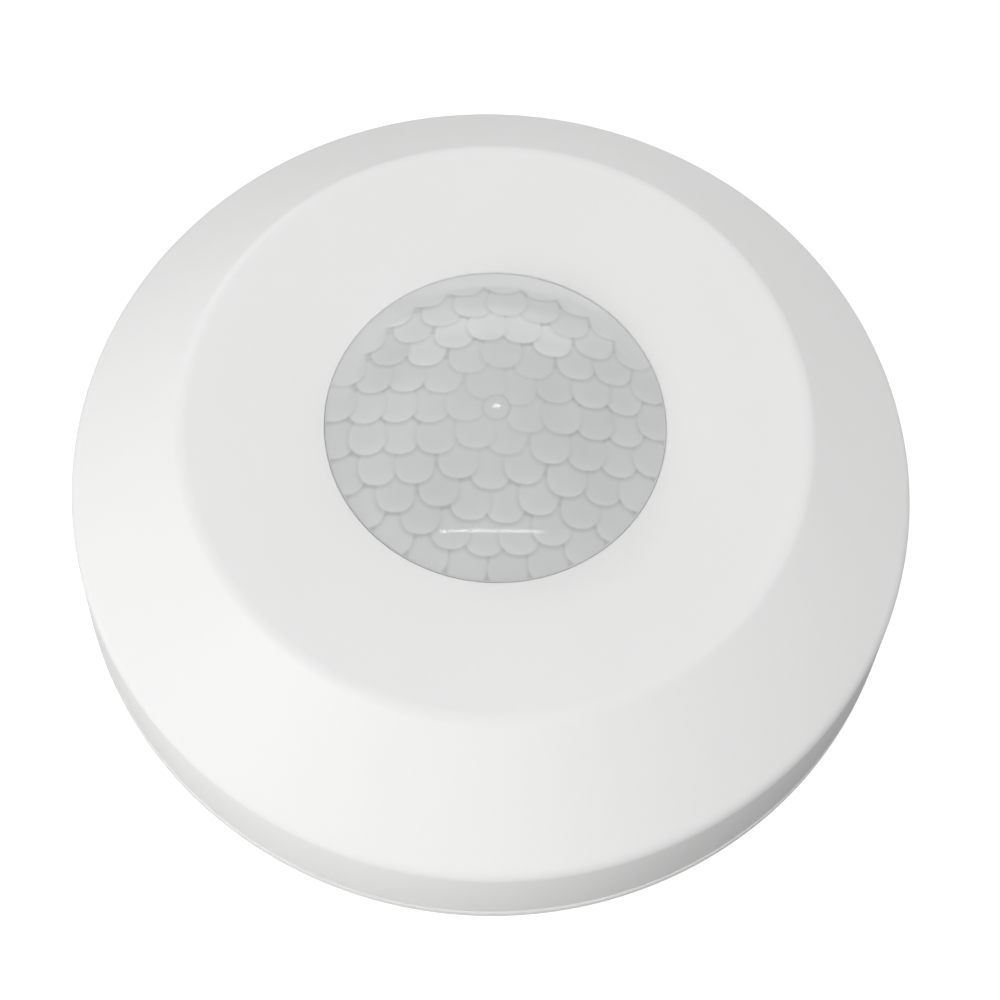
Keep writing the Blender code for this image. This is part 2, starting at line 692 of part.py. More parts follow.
def fresnel_lens():
    """A shallow dome with a collar that fills the aperture and a flange under the cover's lip."""
    collar = APERTURE_RADIUS - CLEARANCE
    flange_top = APERTURE_LIP_BOTTOM - CLEARANCE
    flange_bottom = flange_top - FLANGE_THICKNESS
    dome_edge = collar - 0.0007
    collar_top = flange_top + 0.0008
    centre = LENS_TOP - LENS_CURVE_RADIUS
    profile = dome_points(LENS_CURVE_RADIUS, centre, dome_edge)
    profile += [
        (collar, collar_top),
        (collar, flange_top),
        (FLANGE_RADIUS, flange_top),
        (FLANGE_RADIUS, flange_bottom),
        (dome_edge - LENS_THICKNESS, flange_bottom),
    ]
    under = dome_points(LENS_CURVE_RADIUS - LENS_THICKNESS, centre, dome_edge - LENS_THICKNESS)
    profile += reversed(under)
    return turned("fresnel_lens", profile, LENS_MILKY, SENSOR, closed=False)


def dome_points(radius, centre, edge, segments=7):
    """An arc from the axis out to the radius called edge."""
    sweep = math.asin(edge / radius)
    angles = [sweep * i / segments for i in range(segments + 1)]
    return [(radius * math.sin(a), centre + radius * math.cos(a)) for a in angles]


def lens_retainer_ring():
    top = APERTURE_LIP_BOTTOM - 2 * CLEARANCE - FLANGE_THICKNESS
    profile = [
        (FLANGE_RADIUS, top),
        (FLANGE_RADIUS, top - RING_THICKNESS),
        (RING_INNER, top - RING_THICKNESS),
        (RING_INNER, top),
    ]
    return turned("lens_retainer_ring", profile, SWITCH_BLACK, SENSOR)


def hold(name, objects, parent=None, place=(0, 0, 0)):
    """An empty that carries the objects of one moving group."""
    empty = bpy.data.objects.new(name, None)
    empty.location = place
    empty.parent = parent
    SENSOR.objects.link(empty)
    for obj in objects:
        obj.parent = empty
    return empty


clear_scene()
SENSOR = new_collection("motion_sensor")
CUTTERS = new_collection("cutters")

WHITE_GLOSS = material("white_gloss_plastic", (0.86, 0.86, 0.85), 0.35)
WHITE_MATT = material("white_matt_plastic", (0.80, 0.80, 0.78), 0.55)
LENS_MILKY = material("milky_lens_plastic", (0.72, 0.73, 0.73), 0.30)
BOARD_GREEN = material("board_green", (0.02, 0.16, 0.06), 0.45)
TERMINAL_GREEN = material("terminal_green", (0.05, 0.32, 0.12), 0.45)
SWITCH_BLACK = material("black_plastic", (0.02, 0.02, 0.02), 0.50)
SWITCH_BLUE = material("blue_plastic", (0.02, 0.10, 0.45), 0.40)
CAPACITOR_BLACK = material("capacitor_sleeve", (0.03, 0.03, 0.04), 0.30)
BLACK_RUBBER = material("black_rubber", (0.02, 0.02, 0.02), 0.80)
STEEL = material("plated_steel", (0.62, 0.62, 0.60), 0.30, 1.0)
BRASS = material("gilt_brass", (0.80, 0.60, 0.25), 0.30, 1.0)
DARK_FILTER = material("dark_filter", (0.05, 0.04, 0.06), 0.15)
LED_RED = material("led_red", (0.55, 0.03, 0.03), 0.15)

hold("base_origin", [mounting_base(), cable_grommet()])
head_pieces = [
    rear_housing(),
    circuit_board(),
    *board_screws(),
    sensor_holder(),
    *pyro_sensor(),
    status_led(),
    terminal_block(),
    *terminal_screws(),
    standing_box("alarm_relay", RELAY_SIZE, (0.0140, 0.0290), CAPACITOR_BLACK, 0.0004),
    standing_can("capacitor_large", 0.0040, 0.0110, (-0.0080, 0.0310)),
    standing_can("capacitor_small", 0.0025, 0.0070, (-0.0190, 0.0270)),
    standing_box("controller_chip", CONTROLLER_SIZE, (0.0140, 0.0110), SWITCH_BLACK, 0.0003),
    standing_box("amplifier_chip", AMPLIFIER_SIZE, (-0.0130, -0.0100), SWITCH_BLACK, 0.0003),
    *tamper_switch(),
    *dip_switch(),
    *trimmer(),
    *jumper(),
]
head_axis = hold("head_axis", head_pieces)
hold("cover_axis", [front_cover(), fresnel_lens(), lens_retainer_ring()], head_axis)
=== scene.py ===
"""The looks of a ceiling motion sensor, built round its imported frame. In metres, with +Z into the room."""

import json
import math

import bmesh
import bpy
import numpy as np
from mathutils import Matrix, Vector


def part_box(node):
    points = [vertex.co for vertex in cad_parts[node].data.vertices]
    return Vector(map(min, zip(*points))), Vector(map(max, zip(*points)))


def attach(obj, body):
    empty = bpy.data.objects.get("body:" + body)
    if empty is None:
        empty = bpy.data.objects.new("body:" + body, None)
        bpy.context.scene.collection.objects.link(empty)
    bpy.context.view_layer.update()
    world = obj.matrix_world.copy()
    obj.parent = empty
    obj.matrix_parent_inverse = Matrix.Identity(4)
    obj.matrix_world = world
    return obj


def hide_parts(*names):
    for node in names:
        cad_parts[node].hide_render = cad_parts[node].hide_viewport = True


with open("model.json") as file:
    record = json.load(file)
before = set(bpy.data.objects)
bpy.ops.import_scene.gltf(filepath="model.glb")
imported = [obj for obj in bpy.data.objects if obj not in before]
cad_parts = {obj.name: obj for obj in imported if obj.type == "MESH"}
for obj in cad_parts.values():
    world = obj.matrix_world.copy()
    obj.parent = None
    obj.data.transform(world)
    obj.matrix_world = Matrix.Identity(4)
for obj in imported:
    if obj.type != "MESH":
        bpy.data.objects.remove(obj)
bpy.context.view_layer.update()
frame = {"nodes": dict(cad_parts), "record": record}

# ---------------- sizes, read from the frame

MM = 0.001
GAP = 0.3 * MM  # between pieces that come apart
OVERLAP = 0.4 * MM  # between the parts of one moulding
ROUND_STEPS = 256
BLOCK_STEP = 1.5  # degrees, along a bent block
SHARP = 0.5  # radians between faces, from which an edge is bevelled

RECORD = frame["record"]
SLOT_OF = {entry["node"]: entry["material_slot"] for entry in RECORD["subparts"]}
BODY_OF = {node: body for body, nodes in RECORD["behaviour"]["bodies"].items() for node in nodes}


def smallest_radius(node, height=None):
    """The distance from the Z axis to the CAD node's nearest point off it, at one height if that is given."""
    points = np.array([v.co for v in frame["nodes"][node].data.vertices])
    if height is not None:
        points = points[np.abs(points[:, 2] - height) < 0.01 * MM]
    distance = np.hypot(points[:, 0], points[:, 1])
    return float(distance[distance > 0.1 * MM].min())


def radius_of(node):
    """Half the width of a round CAD node."""
    low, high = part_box(node)
    return (high.x - low.x) / 2


def middle_of(node, height=0.0):
    """The middle of the CAD node seen from above, as a point at this height."""
    low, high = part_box(node)
    return ((low.x + high.x) / 2, (low.y + high.y) / 2, height)


def on_circle(radius, degrees):
    """The point at this radius and angle, at height 0."""
    angle = math.radians(degrees)
    return (radius * math.cos(angle), radius * math.sin(angle), 0)


# Cover
COVER_LOW, COVER_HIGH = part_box("front_cover")
HOUSING_RADIUS = COVER_HIGH.x
PLATEAU_HEIGHT = COVER_HIGH.z
PLATEAU_RADIUS = 0.722 * HOUSING_RADIUS
SHOULDER_HEIGHT = 0.502 * PLATEAU_HEIGHT
COVER_WALL = 2.0 * MM
APERTURE_RADIUS = smallest_radius("front_cover")
APERTURE_DEPTH = 0.85 * MM  # from the plateau down to the edge of the lens opening
PLUNGER_LOW, PLUNGER_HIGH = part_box("tamper_plunger")
PLUNGER_RADIUS = radius_of("tamper_plunger")
POST_TIP = 1.8 * MM

# Clips: hooks under the cover snap below beads on the head.
HOUSING_LOW, HOUSING_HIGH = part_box("rear_housing")
HEAD_RADIUS = HOUSING_HIGH.x
CLIP_ANGLES = (30, 150, 270)
CLIP_HALF_WIDTH = 4.2  # degrees, seen from the axis
BEAD_LOW = 7.0 * MM
BEAD_OUTER = HEAD_RADIUS + 1.2 * MM
HOOK_HIGH = BEAD_LOW - GAP
HOOK_LOW = HOOK_HIGH - 1.8 * MM
HOOK_INNER = BEAD_OUTER - 0.4 * MM

# Lens
LENS_LOW, LENS_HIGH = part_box("fresnel_lens")
RING_LOW, RING_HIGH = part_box("lens_retainer_ring")
FLANGE_RADIUS = LENS_HIGH.x
FLANGE_TOP = LENS_LOW.z + 1.0 * MM
LENS_COLLAR = APERTURE_RADIUS - 0.02 * MM
LENS_WALL = 0.8 * MM
LENS_CURVE = 52.0 * MM
DOME_EDGE = LENS_COLLAR - 0.15 * MM
DOME_RINGS = 160
DOME_STEPS = 800
FACET_RELIEF = 0.085 * MM
RELIEF_FADE = 2.6 * MM  # the relief fades over this width, inside the dome's edge
LENS_CENTRE = LENS_HIGH.z - FACET_RELIEF - LENS_CURVE
# Rings of facets: inner and outer radius in mm, facets, turn in degrees, and painted light added on the far
# side, which is painted shade where it is below 0.
FACET_RINGS = (
    (1.8, 6.35, 6, 52.0, 0.0),
    (6.35, 10.8, 12, 28.5, 0.0),
    (10.8, 15.0, 18, 18.5, 0.08),
    (15.0, 19.0, 24, 13.5, -0.02),
    (19.0, 22.9, 25, 4.0, 0.0),
)
FACET_REACH = 2.60 * MM
FACET_SQUARENESS = 2.3  # 2 is a round facet
FACET_VARIATION = 0.014
# Painted light and shade on the facets: a painted highlight towards each facet's near edge, a painted shadow
# just beyond that edge, and painted shade in the gaps between facets.
FACET_EDGE_HIGHLIGHT = 0.07
FACET_SHADOW = 0.21
JUNCTION_SHADE = 0.90
FAINT_RADIUS = 11.0 * MM  # inside it the facets fade
FAR_SIDE = math.radians(98)
FAR_BAND_RADIUS = 19.2 * MM  # outside it the lens looks smooth on its far side
# Painted light: the smooth far band is painted this much lighter.
FAR_BAND_LIGHT = 0.05
BUTTON_RADIUS = 1.75 * MM
BUTTON_GROOVE = 0.18 * MM

# Mounting base, with the bayonet lugs that hold the head
BASE_LOW, BASE_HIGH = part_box("mounting_base")
BASE_TOP = COVER_LOW.z - 0.4 * MM
BASE_HOLE = smallest_radius("mounting_base")
COLLAR_OUTER = 0.826 * HOUSING_RADIUS
COLLAR_INNER = 0.800 * HOUSING_RADIUS
LUG_ANGLES = (0, 120, 240)
LUG_HALF_WIDTH = 6.3
LUG_REACH = COLLAR_OUTER + 2.1 * MM
LEDGE_INNER = 48.2 * MM  # clear of the collar, and under the lugs
SCREW_CIRCLE = 30.0 * MM
SLOT_SIZE = (9.0 * MM, 5.0 * MM)

# Head: tray, board and what stands on it
BOARD_LOW, BOARD_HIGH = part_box("circuit_board")
BOARD_TOP = BOARD_HIGH.z
PRINT_LOW = BOARD_TOP - 0.01 * MM  # the underside of copper and printing
LEG_FOOT = BOARD_TOP + 0.03 * MM
TRAY_WALL = HEAD_RADIUS - 1.6 * MM
TRAY_FLOOR = 5.4 * MM
FLOOR_TOP = TRAY_FLOOR + 1.6 * MM
POST_PLACES = [on_circle(40.0 * MM, degrees) for degrees in (90, 210, 330)]
POST_RADIUS = 3.0 * MM
POST_TOP = BOARD_LOW.z - GAP
PILOT_RADIUS = 1.4 * MM
TERMINAL_LOW, TERMINAL_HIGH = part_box("terminal_block")
TERMINAL_COUNT = 6
TERMINAL_PITCH = (TERMINAL_HIGH.x - TERMINAL_LOW.x) / TERMINAL_COUNT
TERMINAL_PLACES = [TERMINAL_LOW.x + (i + 0.5) * TERMINAL_PITCH for i in range(TERMINAL_COUNT)]
TERMINAL_PADS = TERMINAL_HIGH.y + 1.3 * MM
CLAMP_LINE = middle_of("terminal_screw_1")[1]
JUMPER_LOW, JUMPER_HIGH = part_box("jumper_block")
JUMPER_PITCH = 2.54 * MM
CHIP_PITCH = 1.27 * MM
SWITCH_TRAVEL = 1.3 * MM
TEST_PADS = [(x * MM, y * MM) for x in (-4.0, 0.0, 4.0) for y in (-17.0, -20.5)]
OUTLINED = ("alarm_relay", "controller_chip", "dip_switch_body", "trimmer_body", "jumper_block")
# Small resistors and ceramic capacitors: place in mm, and whether the part lies across.
SMALL_PARTS = (
    (-20, -14, False), (-20, -16.5, False), (-16, -17, True), (-9, -14, True), (-9, 12, False),
    (-9, 15, False), (-14, 12, True), (-20, 4, True), (-16, 4, True), (6, -14, False),
    (10, -17, False), (15, -14, True), (19, -15, True), (23, -15, True), (3, 14, True),
    (3, 18, True), (25, 21, False), (-24, -22, False), (-28, -17, True), (33, 3, True),
)

# Studio. Azimuth 0 is in front, at -Y, and 90 is at +X.
FLOOR_SIZE = 6.0
FLOOR_DARK = 0.10
FLOOR_LIGHT = 0.55
REFLECTED_AMBIENT = 0.35
SOFT_DISTANCE = 1.4
SOFT_SIZE = 1.0
# Large soft lights: name, azimuth, elevation and power.
SOFT_LIGHTS = (
    ("front", 354, 15, 7.5),
    ("front_left_low", 315, 15, 8.3),
    ("front_left", 315, 35, 7.3),
    ("back_left", 225, 15, 11.9),
    ("back_right", 135, 35, 8.6),
    ("right", 90, 35, 8.8),
)
REFLECTED_DISTANCE = 1.0
# Lights that only show as reflections: name, azimuth, elevation, width, height and power.
REFLECTED_LIGHTS = (
    ("tube", 3.7, 76.1, 0.56, 0.010, 0.20),
    ("glint", 180, 64.8, 0.030, 0.012, 0.02),
    ("far_window", 180, 33, 1.00, 0.19, 0.55),
    ("far_wall", 180, 10, 2.00, 0.30, 1.60),
)
CAMERA_DISTANCE = 0.400
CAMERA_TILT = 23.39  # degrees away from straight down
CAMERA_ROLL = 3.66
CAMERA_LENS = 101.4
CAMERA_SENSOR = 36.0
AIM_RIGHT = 1.52 * MM
AIM_UP = 3.11 * MM


# ---------------- mesh helpers


def add_piece(name, mesh, body, slot, place=(0, 0, 0), look=None):
    """A piece on a body. It has the look of its material slot, unless it is given its own."""
    piece = bpy.data.objects.new(name, mesh)
    piece.location = place
    bpy.context.scene.collection.objects.link(piece)
    mesh.name = name
    mesh.materials.clear()
    mesh.materials.append(look or LOOKS[slot])
    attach(piece, body)
    return piece


def stand_in(name, mesh, node, place=(0, 0, 0)):
    """A piece that replaces a CAD node, on the node's body and in its material slot."""
    piece = add_piece(name, mesh, BODY_OF[node], SLOT_OF[node], place)
    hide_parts(node)


def smooth(mesh, degrees=35):
    mesh.shade_smooth()
    mesh.set_sharp_from_angle(angle=math.radians(degrees))
    return mesh


def finished(shape):
    """The mesh of a bmesh, which is freed."""
    mesh = bpy.data.meshes.new("shape")
    shape.to_mesh(mesh)
    shape.free()
    return mesh


def arc_points(before, corner, after, radius, segments):
    """The points of an arc of this radius that rounds a corner."""
    corner = Vector(corner)
    back = Vector(before) - corner
    ahead = Vector(after) - corner
    half = back.angle(ahead) / 2
    reach = min(radius / math.tan(half), back.length / 2, ahead.length / 2)
    true_radius = reach * math.tan(half)
    back.normalize()
    ahead.normalize()
    centre = corner + (back + ahead).normalized() * (true_radius / math.sin(half))
    start = corner + back * reach - centre
    end = corner + ahead * reach - centre
    sweep = start.angle(end)
    points = []
    for i in range(segments + 1):
        share = i / segments
        mixed = start * math.sin((1 - share) * sweep) + end * math.sin(share * sweep)
        points.append(tuple(centre + mixed / math.sin(sweep)))
    return points


def rounded(corners, segments, closed):
    """Corners given as (radius, height, fillet in mm) become a profile whose corners are arcs."""
    points = []
    count = len(corners)
    for i, (x, z, fillet) in enumerate(corners):
        at_end = not closed and i in (0, count - 1)
        if fillet == 0 or at_end:
            points.append((x, z))
            continue
        before = corners[i - 1][:2]
        after = corners[(i + 1) % count][:2]
        points += arc_points(before, (x, z), after, fillet * MM, segments)
    return points


def circle(radius, steps):
    angles = [2 * math.pi * i / steps for i in range(steps)]
    return [(radius * math.cos(a), radius * math.sin(a)) for a in angles]


def lathe(profile, steps, closed):
    """Turns a profile of (radius, height) points about Z. Points on the axis become one vertex."""
    shape = bmesh.new()
    rings = []
    for radius, height in profile:
        around = [(0, 0)] if radius < 1e-7 else circle(radius, steps)
        rings.append([shape.verts.new((x, y, height)) for x, y in around])
    pairs = list(zip(rings, rings[1:]))
    if closed:
        pairs.append((rings[-1], rings[0]))
    for upper, lower in pairs:
        for i in range(steps):
            corners = [upper[i % len(upper)], lower[i % len(lower)]]
            corners += [lower[(i + 1) % len(lower)], upper[(i + 1) % len(upper)]]
            face = list(dict.fromkeys(corners))
            if len(face) > 2:
                shape.faces.new(face)
    bmesh.ops.recalc_face_normals(shape, faces=shape.faces)
    return finished(shape)


def turned(corners, segments=4, steps=ROUND_STEPS):
    """A turned solid with rounded corners. Corners that start on the axis also end on it."""
    closed = corners[0][0] > 0
    return lathe(rounded(corners, segments, closed), steps, closed)


def turned_disc(radius, low, high, fillets, segments, steps):
    """A turned disc. Fillets, in mm: upper edge, lower edge."""
    upper, lower = fillets
    return turned([(0, high, 0), (radius, high, upper), (radius, low, lower), (0, low, 0)], segments, steps)


def turned_ring(inner, outer, low, high, fillets, segments=4, steps=ROUND_STEPS):
    """A turned ring. Fillets, in mm: upper outer edge, lower outer, lower inner, upper inner."""
    corners = zip((outer, outer, inner, inner), (high, low, low, high), fillets)
    return turned(list(corners), segments, steps)


def box_mesh(low, high, bevel=0.0, segments=2):
    """A box between two corners, with bevelled edges."""
    low, high = Vector(low), Vector(high)
    shape = bmesh.new()
    place = Matrix.Translation((low + high) / 2) @ Matrix.Diagonal((*(high - low), 1.0))
    bmesh.ops.create_cube(shape, size=1.0, matrix=place)
    if bevel:
        edges = shape.edges[:]
        bmesh.ops.bevel(shape, geom=edges, offset=bevel, segments=segments, affect="EDGES", profile=0.5)
    return finished(shape)


def prism(outline, low, high, axis="Z", bevel=0.0):
    """An outline pushed along Z, or one of (y, z) points pushed along X. Sharp edges get the bevel."""
    shape = bmesh.new()
    ends = []
    for along in (low, high):
        points = [(along, a, b) if axis == "X" else (a, b, along) for a, b in outline]
        ends.append([shape.verts.new(point) for point in points])
    shape.faces.new(ends[0])
    shape.faces.new(ends[1])
    for i in range(len(outline)):
        j = (i + 1) % len(outline)
        shape.faces.new((ends[0][i], ends[0][j], ends[1][j], ends[1][i]))
    bmesh.ops.recalc_face_normals(shape, faces=shape.faces)
    if bevel:
        sharp = [edge for edge in shape.edges if edge.calc_face_angle(0.0) > SHARP]
        bmesh.ops.bevel(shape, geom=sharp, offset=bevel, segments=2, affect="EDGES", profile=0.5)
    return finished(shape)


def ring_blocks(angles, half_width, radii, heights, bevel):
    """At each angle, a block bent round Z between two radii and two heights. Angles are in degrees."""
    inner, outer = radii
    steps = max(2, math.ceil(2 * half_width / BLOCK_STEP))
    blocks = []
    for degrees in angles:
        edge = [degrees - half_width + 2 * half_width * i / steps for i in range(steps + 1)]
        outline = [on_circle(outer, a)[:2] for a in edge]
        outline += [on_circle(inner, a)[:2] for a in reversed(edge)]
        blocks.append(prism(outline, *heights, bevel=bevel))
    return blocks


def ribs(angles, start, end, low, high):
    """Thin walls that point away from the axis, from one radius to another."""
    half = 0.5 * MM
    walls = [box_mesh((start, -half, low), (end, half, high), 0.2 * MM) for _ in angles]
    return [moved(wall, turn=math.radians(degrees)) for wall, degrees in zip(walls, angles)]


def slab(x, half, near, far, low, high):
    """A box centred on x, from near to far along Y and from low to high."""
    return box_mesh((x - half, near, low), (x + half, far, high))


def crossed(reach, half, low, high):
    """Two bars that cross each other on the axis."""
    return [slab(0, x, -y, y, low, high) for x, y in ((reach, half), (half, reach))]


def cylinder(radius, low, high, place, steps=24, bevel=0.0):
    return moved(prism(circle(radius, steps), low, high, bevel=bevel), place)


def moved(mesh, offset=(0, 0, 0), turn=0.0):
    """Turns the mesh about Z, then shifts it."""
    mesh.transform(Matrix.Translation(offset) @ Matrix.Rotation(turn, 4, "Z"))
    return mesh


def merged(meshes):
    """One mesh out of several closed parts."""
    shape = bmesh.new()
    for part in meshes:
        shape.from_mesh(part)
        bpy.data.meshes.remove(part)
    return finished(shape)


def cut_away(mesh, *cutters):
    """The mesh less the cutters."""
    target = bpy.data.objects.new("target", mesh)
    tool = bpy.data.objects.new("tool", merged(cutters))
    for temporary in (target, tool):
        bpy.context.scene.collection.objects.link(temporary)
    cut = target.modifiers.new("cut", "BOOLEAN")
    cut.object = tool
    cut.operation = "DIFFERENCE"
    cut.solver = "EXACT"
    cut.use_self = True
    graph = bpy.context.evaluated_depsgraph_get()
    result = bpy.data.meshes.new_from_object(target.evaluated_get(graph))
    for temporary in (target, tool):
        spent = temporary.data
        bpy.data.objects.remove(temporary)
        bpy.data.meshes.remove(spent)
    return result


# ---------------- materials


def new_material(name):
    look = bpy.data.materials.new(name)
    look.use_nodes = True
    tree = look.node_tree
    return look, tree, tree.nodes["Principled BSDF"]


def fill(tree, node, *values, **named):
    """Fills a node's first inputs, and named ones with _ for a space, from sockets or with fixed values."""
    pairs = list(zip(node.inputs, values))
    pairs += [(node.inputs[name.replace("_", " ")], value) for name, value in named.items()]
    for socket, value in pairs:
        if isinstance(value, bpy.types.NodeSocket):
            tree.links.new(value, socket)
        else:
            socket.default_value = value


def add_node(tree, kind, *values, settings=None, **named):
    made = tree.nodes.new(kind)
    for key, value in (settings or {}).items():
        setattr(made, key, value)
    fill(tree, made, *values, **named)
    return made


def object_place(tree):
    return add_node(tree, "ShaderNodeTexCoord").outputs["Object"]


def noise(tree, where, scale, detail=2.0, roughness=0.5):
    inputs = {"Vector": where, "Scale": scale, "Detail": detail, "Roughness": roughness}
    return add_node(tree, "ShaderNodeTexNoise", **inputs).outputs["Fac"]


def remap(tree, value, low, high, from_low=0.3, from_high=0.7):
    """Maps a range of the value, by default the middle of a noise, onto low to high."""
    limits = {"From_Min": from_low, "From_Max": from_high, "To_Min": low, "To_Max": high}
    return add_node(tree, "ShaderNodeMapRange", Value=value, **limits).outputs["Result"]


def tint(tree, colour, factor):
    """The colour multiplied by a grey factor."""
    return vector_maths(tree, "SCALE", colour, Scale=factor)


def bump(tree, height, strength, distance):
    made = add_node(tree, "ShaderNodeBump", Height=height, Strength=strength, Distance=distance)
    return made.outputs["Normal"]


def maths(tree, operation, *values):
    return add_node(tree, "ShaderNodeMath", *values, settings={"operation": operation}).outputs["Value"]


def vector_maths(tree, operation, *values, **named):
    settings = {"operation": operation}
    return add_node(tree, "ShaderNodeVectorMath", *values, settings=settings, **named).outputs["Vector"]


def moulded(colour, roughness, grain=900.0, grain_depth=0.00001, variation=0.02, coat=0.0):
    """Moulded plastic: fine spark-eroded grain, slow colour drift and uneven gloss."""
    look, tree, shader = new_material("moulded")
    where = object_place(tree)
    fine = noise(tree, where, grain, 3.0, 0.6)
    shade = remap(tree, noise(tree, where, 45.0, 3.0), 1.0 - variation, 1.0 + variation)
    fill(
        tree,
        shader,
        Base_Color=tint(tree, colour, shade),
        Roughness=remap(tree, fine, roughness - 0.05, roughness + 0.05),
        Normal=bump(tree, fine, 0.6, grain_depth),
        Coat_Weight=coat,
    )
    return look


def metal(colour, roughness, brushed=(1.0, 1.0, 1.0)):
    """Plated metal with fine tool marks, stretched along the axes where brushed is small."""
    look, tree, shader = new_material("metal")
    where = object_place(tree)
    stretched = add_node(tree, "ShaderNodeMapping", Vector=where, Scale=brushed).outputs["Vector"]
    marks = noise(tree, stretched, 2500.0, 4.0, 0.6)
    stain = remap(tree, noise(tree, where, 300.0), 0.9, 1.05)
    fill(
        tree,
        shader,
        Base_Color=tint(tree, colour, stain),
        Roughness=remap(tree, marks, roughness - 0.08, roughness + 0.12),
        Normal=bump(tree, marks, 0.5, 0.00001),
        Metallic=0.85,
    )
    return look


def even_dome(tree, where):
    """The normal of a smooth dome, for the skin over the lens's facets."""
    away = vector_maths(tree, "SUBTRACT", where, (0.0, 0.0, LENS_HIGH.z - LENS_CURVE))
    unit = vector_maths(tree, "NORMALIZE", away)
    into_world = {"vector_type": "NORMAL", "convert_from": "OBJECT", "convert_to": "WORLD"}
    return add_node(tree, "ShaderNodeVectorTransform", unit, settings=into_world).outputs["Vector"]


def lens_plastic(colour):
    """Milky polyethylene: a soft body under a smooth outer skin, which reflects like an even dome."""
    look, tree, shader = new_material("lens")
    where = object_place(tree)
    along = add_node(tree, "ShaderNodeSeparateXYZ", Vector=where).outputs["Y"]
    # The facets' painted light and shade, with a faint random mottle.
    shade = add_node(tree, "ShaderNodeAttribute", settings={"attribute_name": "facet_painted_light"}).outputs["Fac"]
    shade = maths(tree, "MULTIPLY", shade, remap(tree, noise(tree, where, 120.0, 3.0), 0.97, 1.03))
    # Painted light: the lens is painted up to 6% lighter towards the far side, +Y, and as much darker towards
    # the near side.
    shade = maths(tree, "MULTIPLY", shade, remap(tree, along, 0.94, 1.06, -LENS_COLLAR, LENS_COLLAR))
    fill(
        tree,
        shader,
        Base_Color=tint(tree, colour, shade),
        Roughness=remap(tree, noise(tree, where, 1500.0), 0.42, 0.52),
        Specular_IOR_Level=0.25,
        Subsurface_Weight=0.25,
        Subsurface_Radius=(1.0, 1.0, 1.0),
        Subsurface_Scale=0.6 * MM,
        Coat_Weight=0.9,
        Coat_Roughness=0.055,
        Coat_Normal=even_dome(tree, where),
    )
    return look


def woven_board(colour):
    """Solder mask over glass cloth: a faint weave shows through the green."""
    look, tree, shader = new_material("board")
    where = object_place(tree)
    bands = []
    for axis in ("X", "Y"):
        settings = {"wave_type": "BANDS", "bands_direction": axis}
        inputs = {"Vector": where, "Scale": 420.0, "Distortion": 0.6}
        bands.append(add_node(tree, "ShaderNodeTexWave", settings=settings, **inputs).outputs["Fac"])
    weave = maths(tree, "MULTIPLY", *bands)
    drift = remap(tree, noise(tree, where, 60.0, 3.0), 0.85, 1.15)
    shade = maths(tree, "MULTIPLY", remap(tree, weave, 0.88, 1.12, 0.0, 1.0), drift)
    fill(
        tree,
        shader,
        Base_Color=tint(tree, colour, shade),
        Normal=bump(tree, weave, 0.3, 0.00001),
        Roughness=0.35,
        Coat_Weight=0.4,
    )
    return look


# The look of each material slot
LOOKS = {
    "cover_white": moulded((0.86, 0.86, 0.855), 0.36, 1400.0, 0.000006, 0.006),
    "base_white": moulded((0.80, 0.80, 0.785), 0.55, grain=1100.0, grain_depth=0.00002),
    "lens_milky": lens_plastic((0.615, 0.62, 0.62)),
    "component_black": moulded((0.022, 0.022, 0.024), 0.5, grain_depth=0.00002, variation=0.1),
    "component_blue": moulded((0.015, 0.09, 0.42), 0.38, variation=0.06),
    "terminal_green": moulded((0.03, 0.25, 0.09), 0.42, variation=0.05),
    "switch_white": moulded((0.82, 0.82, 0.80), 0.45),
    "rubber_black": moulded((0.02, 0.02, 0.02), 0.8, grain=700.0, grain_depth=0.00004, variation=0.15),
    "capacitor_sleeve": moulded((0.02, 0.022, 0.03), 0.28, variation=0.08),
    "board_green": woven_board((0.012, 0.12, 0.04)),
    "led_red": moulded((0.50, 0.02, 0.02), 0.12),
    "filter_dark": moulded((0.03, 0.025, 0.04), 0.08, variation=0.1),
    "screw_steel": metal((0.66, 0.66, 0.64), 0.32),
    "can_metal": metal((0.72, 0.71, 0.69), 0.28, brushed=(1.0, 1.0, 0.1)),
    "pin_gilt": metal((0.83, 0.62, 0.28), 0.28),
}
for material_slot, slot_look in LOOKS.items():
    slot_look.name = material_slot
TRACK_LOOK = moulded((0.025, 0.20, 0.075), 0.32, variation=0.05, coat=0.4)
TRACK_LOOK.name = "track_green"


def finish_cad_nodes():
    """Every CAD node takes the look of its material slot."""
    for node, slot in SLOT_OF.items():
        mesh = frame["nodes"][node].data
        mesh.materials.clear()
        mesh.materials.append(LOOKS[slot])


# ---------------- cover


